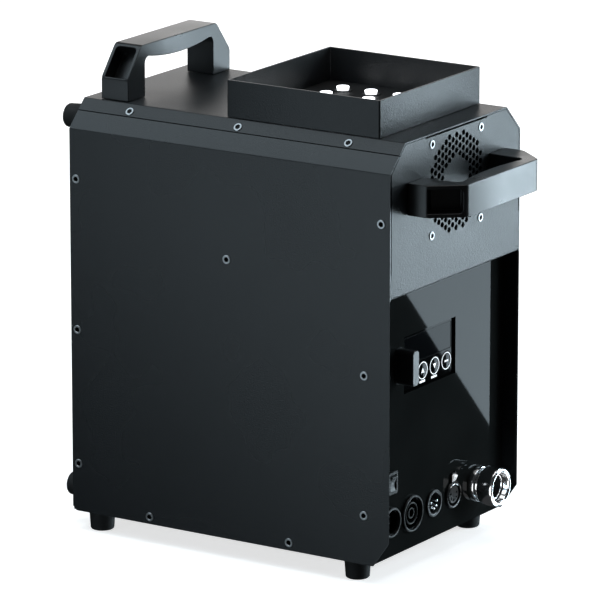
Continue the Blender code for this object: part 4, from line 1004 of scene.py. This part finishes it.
def coupler():
    """Quick-release coupler: tube with a bright rim, and a rounded sleeve that stands out past it."""
    at = middle("coupler_body")
    at = (at.x, PANEL, at.z)
    mouth, tube, flange, thick, front = 0.0103, 0.0118, 0.0165, 0.0060, 0.0200
    profile = [
        (mouth, front - 0.0012), (mouth + 0.0001, front - 0.0005), (mouth + 0.0004, front),
        (tube - 0.0004, front), (tube, front - 0.0004), (tube, thick), (flange - 0.0016, thick),
        (flange - 0.0005, thick - 0.0004), (flange, thick - 0.0015), (flange, 0.0006),
        (flange - 0.0003, 0.0003), (0.0100, 0.0003), (0.0100, -0.0160), (0.0065, -0.0160), (0.0065, -0.0285),
        (0.0030, -0.0285), (0.0030, -0.0080), (0.0078, -0.0080), (0.0078, 0.0060), (0.0048, 0.0060),
        (0.0048, 0.0090), (mouth, 0.0090),
    ]
    # The core's bore takes the near-black material: painted shade inside the chrome tube.
    slots = [0] * 15 + [1] * 7
    core = turned("coupler_core", "case", "chrome", profile, at, [CHROME, DARK_AND_PAINTED_SHADE], slots, segments=72,
                  nodes=("coupler_body",))
    outer, bore, pocket, seat = 0.0182, tube + 0.0004, 0.0152, 0.0180
    back, tip, lip, round_back = 0.0100, 0.0262, 0.0025, 0.0018
    profile = [(bore, seat), (bore, 0.0192), (bore + 0.0003, 0.0197), (0.0131, 0.0205)]
    for k in range(13):
        turn = radians(-75 + 165 * k / 12)
        profile.append((outer - lip + lip * sin(turn), tip - lip * (1 - cos(turn))))
    for k in range(1, 9):
        turn = pi / 2 * k / 8
        profile.append((outer - round_back + round_back * cos(turn), back + round_back * (1 - sin(turn))))
    profile += [(pocket + 0.0003, back), (pocket, back + 0.0003), (pocket, seat)]
    # The sleeve's bore is painted near-black: painted shade.
    slots = [1, 1, 1] + [0] * (len(profile) - 3)
    ring = turned("coupler_ring", "coupler_sleeve", "chrome", profile, at, [CHROME, DARK_AND_PAINTED_SHADE], slots, segments=96,
                  nodes=("coupler_sleeve",))
    # Two cards that light only the chrome.
    cards = (("chrome_card_left", (-0.9, -0.75, -0.20), (1.4, 1.0)),
             ("chrome_card_low", (0.1, -0.9, -0.75), (0.7, 0.7)))
    for name, start, size in cards:
        card = softbox(name, start, at, size, 1.6, (1.0, 1.0, 1.0))
        group = bpy.data.collections.new(name + "_receivers")
        for thing in (core, ring):
            group.objects.link(thing)
        card.light_linking.receiver_collection = group


# ---------------------------------------------------------------- finishes of the CAD nodes that stay
def finish_nodes():
    finishes = {
        "powder_coat": COAT, "gloss_panel": GLOSS, "handle_plastic": GRIP, "connector_black": BLACK,
        "rubber": RUBBER, "chrome": CHROME, "steel": STEEL, "aluminium": ALUMINIUM, "lens": LENS,
        "circuit_board": BOARD, "hose": HOSE, "key": KEY,
    }
    for name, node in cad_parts.items():
        for slot in node.material_slots:
            finish = slot.material.name.split(".")[0] if slot.material else ""
            if finish not in finishes:
                raise RuntimeError(f"no finish for {name}: {finish!r}")
            slot.material = finishes[finish]
    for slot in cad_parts["outlet_deck"].material_slots:
        slot.material = DECK


# ---------------------------------------------------------------- stage
def camera():
    """The photograph's view, fitted to the corners of the case."""
    azimuth, elevation, distance = radians(-57.08), radians(14.51), 5.1892
    back = Vector((sin(azimuth) * cos(elevation), -cos(azimuth) * cos(elevation), sin(elevation)))
    right = Vector((cos(azimuth), sin(azimuth), 0.0))
    up = back.cross(right)
    aim = Vector((0.0, 0.015, 0.018)) + right * 0.00469 + up * 0.19137
    data = bpy.data.cameras.new("camera")
    data.sensor_width = 36.0
    data.lens = 340.97
    data.clip_start, data.clip_end = 0.1, 100.0
    lookout = bpy.data.objects.new("camera", data)
    lookout.location = aim + back * distance
    lookout.rotation_mode = "QUATERNION"
    lookout.rotation_quaternion = (-back).to_track_quat("-Z", "Y")
    scene.collection.objects.link(lookout)
    scene.camera = lookout


def softbox(name, place_at, aim, size, power, colour, axes=None):
    """Rectangular light that the camera does not see; it looks at aim, or lies along three given axes."""
    data = bpy.data.lights.new(name, "AREA")
    data.shape = "RECTANGLE"
    data.size, data.size_y = size
    data.energy = power * size[0] * size[1] * 4
    data.color = colour
    lamp = bpy.data.objects.new(name, data)
    lamp.location = place_at
    lamp.rotation_mode = "QUATERNION"
    if axes:
        lamp.rotation_quaternion = Matrix(axes).transposed().to_quaternion()
    else:
        toward = Vector(aim) - Vector(place_at)
        lamp.rotation_quaternion = toward.to_track_quat("-Z", "Y")
    lamp.visible_camera = False
    scene.collection.objects.link(lamp)
    return lamp


def lights():
    # Big box at the right front; its lower left edge is what the glossy panel mirrors as a diagonal.
    line = [Vector((x, PANEL, z)) for x, z in (EDGE_START, EDGE_END)]
    eye = scene.camera.location
    far = 1.7
    ends = []
    for point in line:
        ray = (point - eye).normalized()
        ray.y = -ray.y
        ends.append(point + ray * far)
    ray_mid = ((line[0] + line[1]) / 2 - eye).normalized()
    ray_mid.y = -ray_mid.y
    edge = (ends[1] - ends[0]).normalized()
    across = edge.cross(ray_mid).normalized()
    if across.z < 0:
        across = -across
    normal = -(edge.cross(across)).normalized()
    if normal.dot(ray_mid) > 0:
        normal = -normal
    length, width = 2.6, 0.27
    middle_edge = (ends[0] + ends[1]) / 2
    softbox("softbox_right", middle_edge + across * width / 2, None, (length, width), 10.5, COOL,
            axes=(edge, (-normal).cross(edge), -normal))
    # Tilted box on the left; its lower rear edge fades out across the side panel.
    slant, left = Vector((0.0, 0.73, 0.68)).normalized(), Vector((-1.0, 0.0, 0.0))
    softbox("softbox_left", (-1.0, 0.35, 0.15), None, (1.0, 0.62), 0.95, COOL,
            axes=(slant, left.cross(slant), left))
    softbox("softbox_top", (-0.65, 1.05, 1.9), (0.0, 0.0, 0.3), (1.7, 1.7), 1.25, COOL)
    softbox("softbox_back", (1.75, 1.45, 0.95), (0.0, 0.05, 0.3), (1.6, 1.1), 1.05, (1.0, 0.99, 0.98))
    softbox("card_low", (0.75, -0.80, -1.15), (0.05, -0.155, 0.20), (0.8, 0.8), 2.6, COOL)
    softbox("card_high", (1.25, -0.60, 1.25), (0.05, -0.155, 0.38), (0.55, 0.55), 3.0, COOL)
    sun = bpy.data.lights.new("skylight", "SUN")
    sun.energy = 0.9
    sun.angle = radians(40)
    lamp = bpy.data.objects.new("skylight", sun)
    lamp.location = (0, 0, 3)
    scene.collection.objects.link(lamp)
    world = bpy.data.worlds.new("room")
    world.use_nodes = True
    world.node_tree.nodes["Background"].inputs["Color"].default_value = (0.93, 0.96, 1.0, 1.0)
    world.node_tree.nodes["Background"].inputs["Strength"].default_value = 0.035
    scene.world = world
    scene.view_settings.view_transform = "Standard"


def floor():
    """Pale ground that the camera sees, and that neither lights nor mirrors in the machine."""
    bm = bmesh.new()
    reach = 30.0
    corners = ((-reach, -reach), (reach, -reach), (reach, reach), (-reach, reach))
    bm.faces.new([bm.verts.new((x, y, 0.0)) for x, y in corners])
    shade = bpy.data.materials.new("floor_pale")
    shade.use_nodes = True
    shader = shade.node_tree.nodes["Principled BSDF"]
    shader.inputs["Base Color"].default_value = (0.90, 0.90, 0.90, 1.0)
    shader.inputs["Roughness"].default_value = 1.0
    shader.inputs["Specular IOR Level"].default_value = 0.0
    shader.inputs["Emission Color"].default_value = (1.0, 1.0, 1.0, 1.0)
    shader.inputs["Emission Strength"].default_value = 0.70
    ground = link("floor", bm, shade)
    ground.visible_glossy = False
    ground.visible_diffuse = False
    ground.visible_shadow = False


camera()
lights()
floor()
finish_nodes()
side_panels()
top_skin()
front_skin()
collar()
outlet()
handles()
feet()
screws()
display()
module()
rocker()
power_sockets()
data_inlet()
data_outlet()
coupler()
